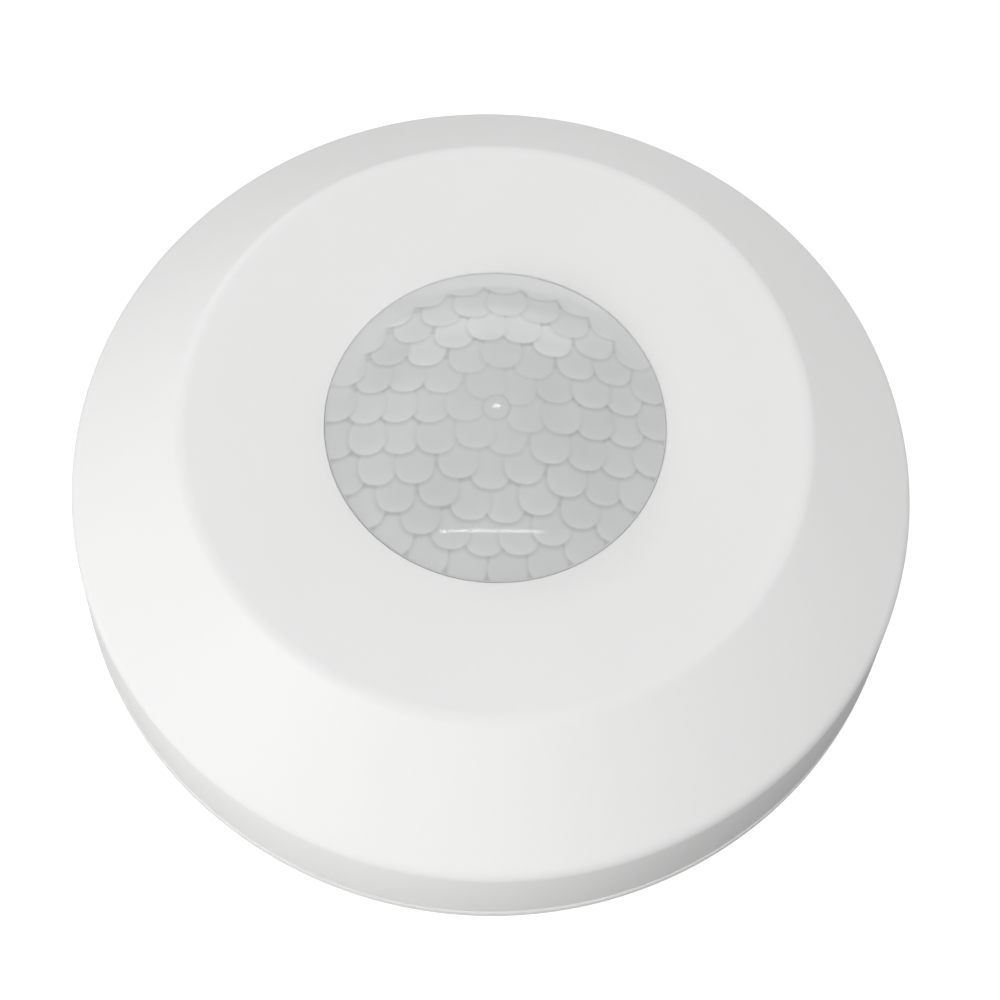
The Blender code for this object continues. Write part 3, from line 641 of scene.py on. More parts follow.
def cover_shell():
    """The shell, with the catch that holds the lens ring, the clip hooks and the tamper switch's post."""
    lip_bottom = FLANGE_TOP + GAP
    wall_inner = HOUSING_RADIUS - COVER_WALL
    ceiling = PLATEAU_HEIGHT - COVER_WALL
    boss_inner = FLANGE_RADIUS + 0.4 * MM
    boss_outer = boss_inner + 1.5 * MM
    catch_top = RING_LOW.z - GAP
    catch_bottom = catch_top - 0.7 * MM
    catch_inner = boss_inner - 0.7 * MM
    corners = [
        (APERTURE_RADIUS, lip_bottom, 0.1),
        (APERTURE_RADIUS, PLATEAU_HEIGHT - APERTURE_DEPTH, 0.30),
        (1.20 * APERTURE_RADIUS, PLATEAU_HEIGHT, 20.0),
        (PLATEAU_RADIUS, PLATEAU_HEIGHT, 3.0),
        (HOUSING_RADIUS - 0.2 * MM, SHOULDER_HEIGHT, 3.6),
        (HOUSING_RADIUS, COVER_LOW.z, 0.5),
        (wall_inner, COVER_LOW.z, 0.3),
        (wall_inner - 0.2 * MM, SHOULDER_HEIGHT - COVER_WALL / 2, 2.0),
        (PLATEAU_RADIUS - COVER_WALL / 2, ceiling, 1.5),
        (boss_outer, ceiling, 0.4),
        (boss_outer, catch_bottom, 0.2),
        (catch_inner, catch_bottom, 0.2),
        (catch_inner, catch_top, 0.1),
        (boss_inner, catch_top, 0.1),
        (boss_inner, lip_bottom, 0.2),
    ]
    parts = [turned(corners, 8)]
    hook_radii = (HOOK_INNER, wall_inner + OVERLAP)
    parts += ring_blocks(CLIP_ANGLES, CLIP_HALF_WIDTH, hook_radii, (HOOK_LOW, HOOK_HIGH), 0.25 * MM)
    post = turned_disc(POST_TIP, PLUNGER_HIGH.z + GAP, ceiling + OVERLAP, (0, 0.3), 4, 40)
    parts.append(moved(post, middle_of("tamper_plunger")))
    stand_in("cover_shell", smooth(merged(parts)), "front_cover")


def retainer_ring():
    inner = smallest_radius("lens_retainer_ring")
    mesh = turned_ring(inner, RING_HIGH.x, RING_LOW.z, RING_HIGH.z, (0.2, 0.2, 0.2, 0.2))
    stand_in("retainer_ring", smooth(mesh), "lens_retainer_ring")


# ---------------- lens


def ramp(value, start, end):
    """0 up to start and 1 from end on, with a straight slope between them. End may lie before start."""
    return np.clip((value - start) / (end - start), 0, 1)


def facets():
    """The middle of every facet, from the near side to the far side, with a tone that differs at random and
    the painted light of its ring's far side.
    """
    made = []
    for ring, (inner, outer, count, turn, far_light) in enumerate(FACET_RINGS, 1):
        radius = (inner + outer) / 2 * MM
        height = math.sqrt(LENS_CURVE**2 - radius**2)
        for i in range(count):
            angle = math.radians(turn) + 2 * math.pi * i / count
            tone_and_light = 1.0 + FACET_VARIATION * math.sin(7.3 * i + 2.1 * ring)
            # Painted light on the far side of some rings; a value below 0 is painted shade.
            tone_and_light += far_light * ramp(math.cos(angle - FAR_SIDE), 0.5, 0.75)
            middle = np.array((radius * math.cos(angle), radius * math.sin(angle), height))
            made.append((middle, tone_and_light))
    return sorted(made, key=lambda facet: facet[0][1])


def facet_field(points):
    """Height, from 0 to 1, and painted light and shade of points on the dome, which are given from its centre
    of curvature.

    Like tiles, far facets lie over near ones.
    """
    height = np.zeros(len(points))
    shade = np.full(len(points), JUNCTION_SHADE)
    for middle, tone_and_light in facets():
        offset = points - middle
        length = np.linalg.norm(offset, axis=1)
        flat = np.abs(offset[:, :2]) / np.maximum(np.hypot(offset[:, 0], offset[:, 1]), 1e-9)[:, None]
        # The reach is 0 at the facet's middle and 1 at its edge.
        reach = length / FACET_REACH * np.sum(flat**FACET_SQUARENESS, axis=1) ** (1 / FACET_SQUARENESS)
        near_side = np.clip(-offset[:, 1] / np.maximum(length, 1e-9), 0, 1)
        # Painted light and shade: a facet is painted lighter towards its near edge, as a highlight, and
        # paints a shadow on its neighbours just beyond that edge.
        lip = ramp(reach, 0.35, 1.0) ** 1.5 * near_side
        beyond = ramp(reach, 1.30, 1.0) ** 1.5 * (0.2 + 0.8 * near_side)
        covered = ramp(reach, 1.05, 0.95)
        shade *= (1 - FACET_SHADOW * beyond) * (1 - covered)
        shade += covered * tone_and_light * (1 + FACET_EDGE_HIGHLIGHT * lip)
        height = np.where(reach < 1, 1 - reach**8, height * ramp(reach, 1.0, 1.2))
    from_axis = np.hypot(points[:, 0], points[:, 1])
    # On the far side, outside FAR_BAND_RADIUS, the facets fade to a smooth band with painted light.
    far = np.cos(np.arctan2(points[:, 1], points[:, 0]) - FAR_SIDE)
    band = ramp(far, 0.2, 0.45) * ramp(from_axis, FAR_BAND_RADIUS, FAR_BAND_RADIUS + 0.8 * MM)
    contrast = np.clip(from_axis / FAINT_RADIUS, 0.4, 1) * (1 - band)
    shade = 1 + (shade - 1) * contrast + FAR_BAND_LIGHT * band
    # The button's groove is cut into the relief, and it also gets painted shade.
    button = from_axis < BUTTON_RADIUS
    groove = np.exp(-(((from_axis - BUTTON_RADIUS) / BUTTON_GROOVE) ** 2)) / 2
    height = np.where(button, 1.0, height * contrast) - groove
    shade = np.where(button, 1.0, shade) * (1 - FACET_SHADOW * groove)
    return height, shade


def raise_facets(mesh):
    """Lifts the outer dome by the facets' relief, and keeps their painted light and shade for the material.
    """
    points = np.empty(len(mesh.vertices) * 3)
    mesh.vertices.foreach_get("co", points)
    points = points.reshape(-1, 3)
    away = points - (0, 0, LENS_CENTRE)
    distance = np.linalg.norm(away, axis=1)
    radius = np.hypot(points[:, 0], points[:, 1])
    outer = (np.abs(distance - LENS_CURVE) < 0.001 * MM) & (radius < DOME_EDGE - 0.01 * MM)
    height = np.zeros(len(points))
    shade = np.ones(len(points))
    height[outer], shade[outer] = facet_field(away[outer])
    fade = ramp(radius, DOME_EDGE, DOME_EDGE - RELIEF_FADE)
    fade = fade * fade * (3 - 2 * fade)
    # The button comes to a small point in its middle.
    tip = 0.12 * MM * np.exp(-((radius / (0.30 * MM)) ** 2))
    lift = np.minimum(FACET_RELIEF * height * fade + tip, FACET_RELIEF)
    points += away / distance[:, None] * np.where(outer, lift, 0.0)[:, None]
    mesh.vertices.foreach_set("co", points.ravel())
    kept = mesh.attributes.new("facet_painted_light", "FLOAT", "POINT")
    kept.data.foreach_set("value", shade.astype(np.float32))
    mesh.update()


def dome_arc(curve, edge, count):
    """The profile of a dome, from the axis out to its edge."""
    sweep = math.asin(edge / curve)
    angles = [sweep * i / count for i in range(count + 1)]
    return [(curve * math.sin(a), LENS_CENTRE + curve * math.cos(a)) for a in angles]


def lens_dome():
    """The dome, hollow underneath, with the collar in the opening and the flange below it."""
    inner_edge = DOME_EDGE - LENS_WALL
    outer_arc = dome_arc(LENS_CURVE, DOME_EDGE, DOME_RINGS)
    rim = outer_arc[-1][1]
    corners = [
        (DOME_EDGE, rim, 0),
        (LENS_COLLAR, rim - 0.05 * MM, 0.05),
        (LENS_COLLAR, FLANGE_TOP, 0.1),
        (FLANGE_RADIUS, FLANGE_TOP, 0.2),
        (FLANGE_RADIUS, LENS_LOW.z, 0.2),
        (inner_edge, LENS_LOW.z, 0),
    ]
    profile = outer_arc + rounded(corners, 4, closed=False)[1:]
    profile += reversed(dome_arc(LENS_CURVE - LENS_WALL, inner_edge, 24))
    mesh = lathe(profile, DOME_STEPS, closed=False)
    raise_facets(mesh)
    stand_in("lens_dome", smooth(mesh, 70), "fresnel_lens")


# ---------------- mounting base


def capsule(length, width, segments=10):
    """The outline of a slot with round ends, along X."""
    half = (length - width) / 2
    points = []
    for side, start in ((1, -90), (-1, 90)):
        for i in range(segments + 1):
            x, y, _ = on_circle(width / 2, start + 180 * i / segments)
            points.append((side * half + x, y))
    return points


def base_plate():
    """The plate with its collar and screw slots, the bayonet lugs with their stops, and stiffening ribs."""
    edge = BASE_HIGH.x
    corners = [
        (COLLAR_OUTER, BASE_HIGH.z, 0.25),
        (COLLAR_OUTER, BASE_TOP, 0.3),
        (edge, BASE_TOP, 0.35),
        (edge, BASE_LOW.z, 0.25),
        (BASE_HOLE, BASE_LOW.z, 0.2),
        (BASE_HOLE, BASE_TOP, 0.2),
        (COLLAR_INNER, BASE_TOP, 0.3),
        (COLLAR_INNER, BASE_HIGH.z, 0.25),
    ]
    slots = []
    for x in (-SCREW_CIRCLE, SCREW_CIRCLE):
        slots.append(moved(prism(capsule(*SLOT_SIZE), -BASE_TOP, 2 * BASE_TOP), (x, 0, 0)))
    parts = [cut_away(turned(corners), *slots)]
    radii = (COLLAR_OUTER - OVERLAP, LUG_REACH)
    top = BASE_HIGH.z
    parts += ring_blocks(LUG_ANGLES, LUG_HALF_WIDTH, radii, (top - 1.2 * MM, top), 0.2 * MM)
    stop_angles = [degrees - 8 for degrees in LUG_ANGLES]
    parts += ring_blocks(stop_angles, 1, radii, (BASE_TOP - 0.3 * MM, top), 0.2 * MM)
    parts += ribs(range(30, 390, 60), 15 * MM, COLLAR_INNER, BASE_TOP - 0.3 * MM, BASE_TOP + 0.7 * MM)
    stand_in("base_plate", smooth(merged(parts)), "mounting_base")


def grommet():
    """A rubber bush with a flange above the plate and a groove round its bore."""
    low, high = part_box("cable_grommet")
    bore = smallest_radius("cable_grommet")
    waist = BASE_HOLE - GAP
    flange = BASE_TOP + GAP
    corners = [
        (bore, low.z, 0.3),
        (bore, high.z, 0.3),
        (bore + 1.6 * MM, high.z, 0.2),
        (bore + 2.2 * MM, high.z - 0.5 * MM, 0.2),
        (bore + 2.8 * MM, high.z, 0.2),
        (high.x, high.z, 0.4),
        (high.x, flange, 0.3),
        (waist, flange, 0.2),
        (waist, low.z, 0.2),
    ]
    stand_in("grommet", smooth(turned(corners, steps=96)), "cable_grommet")


# ---------------- head: tray, board and screws


def head_tray():
    """The tray with its cable window, bayonet ledges, clip beads, screw posts and stiffening ribs."""
    centre_hole = smallest_radius("rear_housing")
    corners = [
        (HEAD_RADIUS, HOUSING_HIGH.z, 0.3),
        (HEAD_RADIUS, HOUSING_LOW.z, 0.3),
        (TRAY_WALL, HOUSING_LOW.z, 0.3),
        (TRAY_WALL, TRAY_FLOOR, 0.4),
        (centre_hole, TRAY_FLOOR, 0.2),
        (centre_hole, FLOOR_TOP, 0.2),
        (TRAY_WALL, FLOOR_TOP, 0.5),
        (TRAY_WALL, HOUSING_HIGH.z, 0.3),
    ]
    root = FLOOR_TOP - OVERLAP
    posts = []
    cable_window = slab(0, 12 * MM, -46 * MM, -39 * MM, 0, 8.4 * MM)
    cutters = [cable_window]
    for place in POST_PLACES:
        post = turned_ring(PILOT_RADIUS, POST_RADIUS, root, POST_TOP, (0.2, 0, 0, 0.2), 3, 40)
        posts.append(moved(post, place))
        cutters.append(cylinder(PILOT_RADIUS, TRAY_FLOOR + 0.6 * MM, 2 * POST_TOP, place))
    parts = [cut_away(turned(corners), *cutters)]
    ledge_radii = (LEDGE_INNER, TRAY_WALL + OVERLAP)
    ledge_heights = (HOUSING_LOW.z, HOUSING_LOW.z + 1.0 * MM)
    parts += ring_blocks(LUG_ANGLES, LUG_HALF_WIDTH, ledge_radii, ledge_heights, 0.2 * MM)
    bead_radii = (HEAD_RADIUS - OVERLAP, BEAD_OUTER)
    parts += ring_blocks(CLIP_ANGLES, CLIP_HALF_WIDTH, bead_radii, (BEAD_LOW, BEAD_LOW + 1.2 * MM), 0.3 * MM)
    parts += posts
    clear_of_window = [degrees for degrees in range(0, 360, 30) if degrees != 270]
    parts += ribs(clear_of_window, 14 * MM, 35 * MM, root, FLOOR_TOP + 0.9 * MM)
    stand_in("head_tray", smooth(merged(parts)), "rear_housing")


def board():
    """A round board with an edge notch for the cable and three screw holes."""
    disc = turned_disc(BOARD_HIGH.x, BOARD_LOW.z, BOARD_TOP, (0.12, 0.12), 2, 200)
    notch = slab(0, 11 * MM, -50 * MM, -41 * MM, 0, 2 * BOARD_TOP)
    holes = [cylinder(1.5 * MM, 0, 2 * BOARD_TOP, place) for place in POST_PLACES]
    stand_in("board", smooth(cut_away(disc, notch, *holes)), "circuit_board")


def washer(inner, outer, place):
    """A flat ring on the board's upper face."""
    ring = turned_ring(inner, outer, PRINT_LOW, BOARD_TOP + 0.05 * MM, (0.03, 0, 0, 0), 2, 28)
    return moved(ring, place)


def board_copper():
    """Tinned rings round the screw holes, test pads and the solder round the pins."""
    jumper_x = middle_of("jumper_block")[0]
    pads = [(x, TERMINAL_PADS) for x in TERMINAL_PLACES] + TEST_PADS
    pads += [(jumper_x + side * JUMPER_PITCH / 2, JUMPER_LOW.y - 1.2 * MM) for side in (-1, 1)]
    parts = [washer(1.6 * MM, 2.9 * MM, place) for place in POST_PLACES]
    parts += [washer(0.25 * MM, 0.8 * MM, (x, y, 0)) for x, y in pads]
    add_piece("board_pads", smooth(merged(parts)), "head", "screw_steel")


def track(points, width):
    """One flat bar for each run between two points, and a disc at each bend."""
    top = BOARD_TOP + 0.035 * MM
    parts = []
    for (x0, y0), (x1, y1) in zip(points, points[1:]):
        length = math.hypot(x1 - x0, y1 - y0)
        bar = box_mesh((0, -width / 2, PRINT_LOW), (length, width / 2, top))
        parts.append(moved(bar, (x0, y0, 0), math.atan2(y1 - y0, x1 - x0)))
    for x, y in points:
        parts.append(cylinder(width / 2, PRINT_LOW, top + 0.005 * MM, (x, y, 0), 12))
    return parts


def board_tracks():
    """Copper tracks under the green mask: straight runs with 45 degree bends."""
    parts = []
    bend = TERMINAL_PADS + 1 * MM
    for i, x in enumerate(TERMINAL_PLACES):
        out = abs(i - 2.5)
        lane = math.copysign(3 + 1.6 * out, x) * MM
        lane_end = (-14 - 1.2 * out) * MM
        run = [(x, TERMINAL_PADS), (x, bend), (lane, bend + abs(lane - x)), (lane, lane_end)]
        parts += track(run, 0.7 * MM)
    chip_low, chip_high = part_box("controller_chip")
    chip_x = (chip_low.x + chip_high.x) / 2
    for i in range(8):
        x = chip_x + (i - 3.5) * CHIP_PITCH
        y = chip_low.y - 0.2 * MM
        bend = y - (1.0 + 0.7 * i) * MM
        parts += track([(x, y), (x, bend), (x - 3 * MM, bend - 3 * MM)], 0.3 * MM)
        y = chip_high.y + 0.2 * MM
        bend = y + (1.0 + 0.6 * i) * MM
        parts += track([(x, y), (x, bend), (x + 2 * MM, bend + 2 * MM)], 0.3 * MM)
    for i in range(5):
        x = (-26 + 2.2 * i) * MM
        parts += track([(x, 8 * MM), (x, 18 * MM), (x + 3 * MM, 21 * MM)], 0.4 * MM)
        parts += track([(x, 2 * MM), (x + 4 * MM, -2 * MM), (x + 4 * MM, -6 * MM)], 0.4 * MM)
    add_piece("board_tracks", merged(parts), "head", "board_green", look=TRACK_LOOK)


def board_print():
    """White outlines printed round the larger components, without any lettering."""
    margin = Vector((0.6 * MM, 0.6 * MM, 0))
    half = 0.09 * MM
    top = BOARD_TOP + 0.06 * MM
    bars = []
    for node in OUTLINED:
        low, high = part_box(node)
        low, high = low - margin, high + margin
        for y in (low.y, high.y):
            bars.append(box_mesh((low.x, y - half, PRINT_LOW), (high.x, y + half, top)))
        for x in (low.x, high.x):
            bars.append(box_mesh((x - half, low.y, PRINT_LOW), (x + half, high.y, top)))
    add_piece("board_print", merged(bars), "head", "switch_white")


def pan_screws():
    """Pan-head screws with a crossed recess."""
    low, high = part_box("pcb_screw_1")
    head = radius_of("pcb_screw_1")
    under = BOARD_TOP + GAP
    shank = 1.1 * MM
    corners = [
        (0, high.z, 0),
        (0.55 * head, high.z, 0.5),
        (head, under + 0.5 * MM, 0.4),
        (head, under, 0.1),
        (shank, under, 0.1),
        (shank, low.z, 0.3),
        (0, low.z, 0),
    ]
    recess = crossed(1.3 * MM, 0.28 * MM, high.z - 0.9 * MM, high.z + 1 * MM)
    mesh = smooth(cut_away(turned(corners, 4, 48), *recess))
    for number, place in enumerate(POST_PLACES, 1):
        stand_in(f"board_screw_{number}", mesh, f"pcb_screw_{number}", place)


# ---------------- detector and lamp


def detector():
    """The holder, the metal can in its pocket and the dark filter let into the can's top."""
    low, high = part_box("sensor_holder")
    can_low, can_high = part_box("pyro_sensor_can")
    window_low, window_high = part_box("pyro_sensor_window")
    pocket = smallest_radius("sensor_holder", high.z)
    corners = [
        (0, can_low.z - GAP, 0),
        (pocket, can_low.z - GAP, 0.2),
        (pocket, high.z, 0.2),
        (high.x, high.z, 0.4),
        (high.x, low.z, 0.1),
        (0, low.z, 0),
    ]
    stand_in("detector_holder", smooth(turned(corners, 4, 80)), "sensor_holder")
    flange_top = can_low.z + 0.6 * MM
    body = can_high.x - 0.5 * MM
    corners = [
        (0, can_high.z, 0),
        (body, can_high.z, 0.6),
        (body, flange_top, 0.2),
        (can_high.x, flange_top, 0.15),
        (can_high.x, can_low.z, 0.15),
        (0, can_low.z, 0),
    ]
    half = window_high.x + GAP
    recess = slab(0, half, -half, half, can_high.z - 0.5 * MM, 2 * can_high.z)
    stand_in("detector_can", smooth(cut_away(turned(corners, 5, 80), recess)), "pyro_sensor_can")
    stand_in("detector_window", box_mesh(window_low, window_high, 0.06 * MM), "pyro_sensor_window")


def lamp():
    """A round-topped lamp on a flange."""
    low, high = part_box("status_led")
    flange = radius_of("status_led")
    flange_top = low.z + 0.9 * MM
    bulb = flange - 0.4 * MM
    steps = 10
    angles = [math.pi / 2 * i / steps for i in range(steps + 1)]
    dome = [(bulb * math.sin(a), high.z - bulb + bulb * math.cos(a)) for a in angles]
    corners = [
        (*dome[-1], 0),
        (bulb, flange_top, 0.1),
        (flange, flange_top, 0.1),
        (flange, low.z, 0.1),
        (0, low.z, 0),
    ]
    profile = dome[:-1] + rounded(corners, 3, closed=False)
    stand_in("lamp", smooth(lathe(profile, 48, closed=False)), "status_led", middle_of("status_led"))


# ---------------- terminal block


def cage(x, front, back, low):
    """Three sides of a square clamp, seen through a wire entry."""
    half = 1.4 * MM
    skin = 0.35 * MM
    top = low + 2 * half
    return [
        box_mesh((x - half, front, low), (x - half + skin, back, top), 0.08 * MM),
        box_mesh((x + half - skin, front, low), (x + half, back, top), 0.08 * MM),
        box_mesh((x - half, front, low), (x + half, back, low + skin), 0.08 * MM),
    ]


def terminals():
    """The block, sloped over its wire entries and grooved between its poles, with a cage in each pole."""
    low, high = TERMINAL_LOW, TERMINAL_HIGH
    section = [
        (low.y, low.z),
        (high.y, low.z),
        (high.y, high.z - 0.6 * MM),
        (high.y - 0.6 * MM, high.z),
        (low.y + 1.4 * MM, high.z),
        (low.y, high.z - 2.6 * MM),
    ]
    entry_half = 1.6 * MM
    entry_low = low.z + 1.6 * MM
    entry_high = entry_low + 2 * entry_half
    cutters = []
    cages = []
    for x in TERMINAL_PLACES:
        cutters.append(cylinder(1.9 * MM, high.z - 3.6 * MM, 2 * high.z, (x, CLAMP_LINE, 0), 32))
        cutters.append(slab(x, entry_half, low.y - 1 * MM, low.y + 2.5 * MM, entry_low, entry_high))
        cages += cage(x, low.y + 1.0 * MM, low.y + 2.4 * MM, entry_low + 0.2 * MM)
    for i in range(1, TERMINAL_COUNT):
        x = low.x + i * TERMINAL_PITCH
        cutters.append(slab(x, 0.15 * MM, low.y - 1 * MM, high.y + 1 * MM, high.z - 0.4 * MM, 2 * high.z))
    block = prism(section, low.x, high.x, "X", 0.2 * MM)
    stand_in("terminals", smooth(cut_away(block, *cutters)), "terminal_block")
    add_piece("terminal_cages", merged(cages), "head", "screw_steel")


def clamp_screws():
    """Cheese-head screws with a slot."""
    low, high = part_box("terminal_screw_1")
    radius = radius_of("terminal_screw_1")
    height = high.z - low.z
    blank = turned_disc(radius, 0, height, (0.25, 0.1), 4, 40)
    blade = slab(0, 2 * radius, -0.25 * MM, 0.25 * MM, height - 0.6 * MM, 2 * height)
    mesh = smooth(cut_away(blank, blade))
    for number, x in enumerate(TERMINAL_PLACES, 1):
        stand_in(f"clamp_screw_{number}", mesh, f"terminal_screw_{number}", (x, CLAMP_LINE, low.z))


# ---------------- relay, capacitors and chips


def relay():
    """A sealed case on its foot, with a raised rail and a vent nub on top."""
    low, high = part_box("alarm_relay")
    foot = 1.0 * MM
    inset = 0.15 * MM
    case_low = low + Vector((inset, inset, foot - 0.1 * MM))
    case_high = high - Vector((inset, inset, 0.1 * MM))
    rail_low = (low.x + 2 * MM, low.y + 1.2 * MM, high.z - 0.3 * MM)
    nub_place = (low.x + 1.2 * MM, (low.y + high.y) / 2, 0)
    parts = [
        box_mesh(low, (high.x, high.y, low.z + foot), 0.15 * MM),
        box_mesh(case_low, case_high, 0.5 * MM, 4),
        box_mesh(rail_low, (high.x - 2 * MM, high.y - 1.2 * MM, high.z), 0.1 * MM),
        cylinder(0.6 * MM, high.z - 0.4 * MM, high.z, nub_place, bevel=0.1 * MM),
    ]
    stand_in("relay", smooth(merged(parts)), "alarm_relay")


def capacitor(node):
    """A sleeved can: rolled groove near the foot, and a bare scored top."""
    low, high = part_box(node)
    radius = radius_of(node)
    height = high.z - low.z
    place = middle_of(node, low.z)
    lip = 0.78 * radius
    corners = [
        (0, height - 0.35 * MM, 0),
        (lip, height - 0.35 * MM, 0),
        (lip, height, 0.1),
        (radius, height, 0.5),
        (radius, 0.22 * height, 0.3),
        (0.90 * radius, 0.17 * height, 0.3),
        (radius, 0.12 * height, 0.3),
        (radius, 0, 0.3),
        (0, 0, 0),
    ]
    stand_in(f"{node}_sleeve", smooth(turned(corners, 5, 64)), node, place)
    top = height - 0.08 * MM
    disc = turned_disc(lip - 0.05 * MM, height - 0.3 * MM, top, (0.1, 0), 3, 64)
    score = crossed(0.6 * radius, 0.06 * MM, top - 0.08 * MM, 2 * height)
    add_piece(f"{node}_top", smooth(cut_away(disc, *score)), "head", "can_metal", place)


def gull_leg(x, y, side, start, end, high):
    """A leg that leaves a component at height high and lies flat on the board. start and end are from y."""
    low = LEG_FOOT
    skin = 0.15 * MM
    half = 0.2 * MM
    root = start - 0.1 * MM
    knee = start + 0.25 * (end - start)
    ankle = start + 0.55 * (end - start)
    upper = [(root, high + skin), (knee + skin, high + skin), (ankle + skin, low + skin), (end, low + skin)]
    under = [(end, low), (ankle, low), (knee, high), (root, high)]
    return prism([(y + side * across, up) for across, up in upper + under], x - half, x + half, "X")


def chip(node, pins):
    """A small-outline package: tapered body with a dimple, and gull-wing legs on both long sides."""
    low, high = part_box(node)
    middle = (low + high) / 2
    reach = high.y - middle.y
    half = 0.68 * reach
    seam = low.z + 0.55 * (high.z - low.z)
    foot = low.z + 0.12 * MM
    section = [
        (middle.y - half + 0.12 * MM, foot),
        (middle.y + half - 0.12 * MM, foot),
        (middle.y + half, seam),
        (middle.y + half - 0.18 * MM, high.z),
        (middle.y - half + 0.18 * MM, high.z),
        (middle.y - half, seam),
    ]
    body = prism(section, low.x, high.x, "X", 0.05 * MM)
    corner = (low.x + 0.9 * MM, middle.y - half + 0.9 * MM, 0)
    dimple = cylinder(0.4 * MM, high.z - 0.1 * MM, 2 * high.z, corner)
    stand_in(f"{node}_body", smooth(cut_away(body, dimple)), node)
    legs = []
    for i in range(pins):
        x = middle.x + (i - (pins - 1) / 2) * CHIP_PITCH
        legs += [gull_leg(x, middle.y, side, half, reach, seam) for side in (-1, 1)]
    add_piece(f"{node}_legs", merged(legs), "head", "screw_steel")


def small_parts():
    """Surface-mounted parts: dark bodies, with plated ends that are slightly larger."""
    length, width, height = 1.0 * MM, 0.62 * MM, 0.5 * MM
    end_width = 1.02 * width
    end_top = LEG_FOOT + 1.03 * height
    body_high = (0.7 * length, width, LEG_FOOT + height)
    bodies = []
    ends = []
    for x, y, across in SMALL_PARTS:
        spot = ((x * MM, y * MM, 0), math.pi / 2 if across else 0)
        bodies.append(moved(box_mesh((-0.7 * length, -width, LEG_FOOT), body_high, 0.05 * MM), *spot))
        for side in (-1, 1):
            inner, outer = sorted((side * 0.68 * length, side * length))
            end = box_mesh((inner, -end_width, LEG_FOOT), (outer, end_width, end_top), 0.06 * MM)
            ends.append(moved(end, *spot))
    add_piece("chip_parts", merged(bodies), "head", "component_black")
    add_piece("chip_part_ends", merged(ends), "head", "screw_steel")


# ---------------- switches, trimmer and jumper


def tamper_switch():
    """A push switch with a metal collar and four legs, and its plunger."""
    low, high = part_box("tamper_switch_body")
    place = middle_of("tamper_switch_body")
    bore = cylinder(PLUNGER_RADIUS + GAP, PLUNGER_LOW.z - 1.1 * MM, 2 * high.z, place, 40)
    body = cut_away(box_mesh(low, high, 0.3 * MM, 3), bore)
    stand_in("tamper_body", smooth(body), "tamper_switch_body")
    inner, outer = PLUNGER_RADIUS + 0.7 * MM, PLUNGER_RADIUS + 1.3 * MM
    collar = turned_ring(inner, outer, high.z - 0.1 * MM, high.z + 0.12 * MM, (0.05, 0, 0, 0.05), 2, 48)
    parts = [moved(collar, place)]
    for x in (place[0] - 2.2 * MM, place[0] + 2.2 * MM):
        parts += [gull_leg(x, place[1], side, 2.9 * MM, 4.2 * MM, low.z + 0.9 * MM) for side in (-1, 1)]
    add_piece("tamper_metal", smooth(merged(parts)), "head", "screw_steel")
    button = turned_disc(PLUNGER_RADIUS, PLUNGER_LOW.z, PLUNGER_HIGH.z, (0.35, 0.1), 5, 48)
    stand_in("tamper_button", smooth(button), "tamper_plunger", place)


def option_switches():
    """A body with a slot for each slider, and sliders with three grip ridges."""
    low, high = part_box("dip_switch_body")
    slots = []
    for number in (1, 2, 3):
        node = f"dip_slider_{number}"
        start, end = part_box(node)
        slot_high = (end.x + GAP, end.y + SWITCH_TRAVEL + GAP, 2 * high.z)
        slots.append(box_mesh(start - Vector((GAP, GAP, GAP)), slot_high))
        parts = [box_mesh(start, (end.x, end.y, end.z - 0.15 * MM), 0.08 * MM)]
        for share in (0.15, 0.5, 0.85):
            y = start.y + share * (end.y - start.y)
            ridge_low = (start.x + 0.1 * MM, y - 0.1 * MM, end.z - 0.3 * MM)
            parts.append(box_mesh(ridge_low, (end.x - 0.1 * MM, y + 0.1 * MM, end.z), 0.04 * MM))
        stand_in(f"option_slider_{number}", merged(parts), node)
    body = cut_away(box_mesh(low, high, 0.2 * MM, 3), *slots)
    stand_in("option_body", smooth(body), "dip_switch_body")


def trimmer():
    """A case with a round pocket, and a knob with a screwdriver slot and an arrow."""
    low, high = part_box("trimmer_body")
    knob_low, knob_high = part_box("trimmer_rotor")
    radius = radius_of("trimmer_rotor")
    height = knob_high.z - knob_low.z
    pocket = cylinder(radius + GAP, knob_low.z - GAP, 2 * high.z, middle_of("trimmer_body"), 48)
    case = cut_away(box_mesh(low, high, 0.35 * MM, 3), pocket)
    stand_in("trimmer_case", smooth(case), "trimmer_body")
    blank = turned_disc(radius, 0, height, (0.15, 0.05), 3, 48)
    blade = slab(0, 0.75 * radius, -0.3 * MM, 0.3 * MM, height / 2, 2 * height)
    arrow = [(0.2 * radius, -0.9 * MM), (0.85 * radius, 0), (0.2 * radius, 0.9 * MM)]
    knob = cut_away(blank, blade, prism(arrow, height / 2, 2 * height))
    stand_in("trimmer_knob", smooth(knob), "trimmer_rotor", middle_of("trimmer_body", knob_low.z))


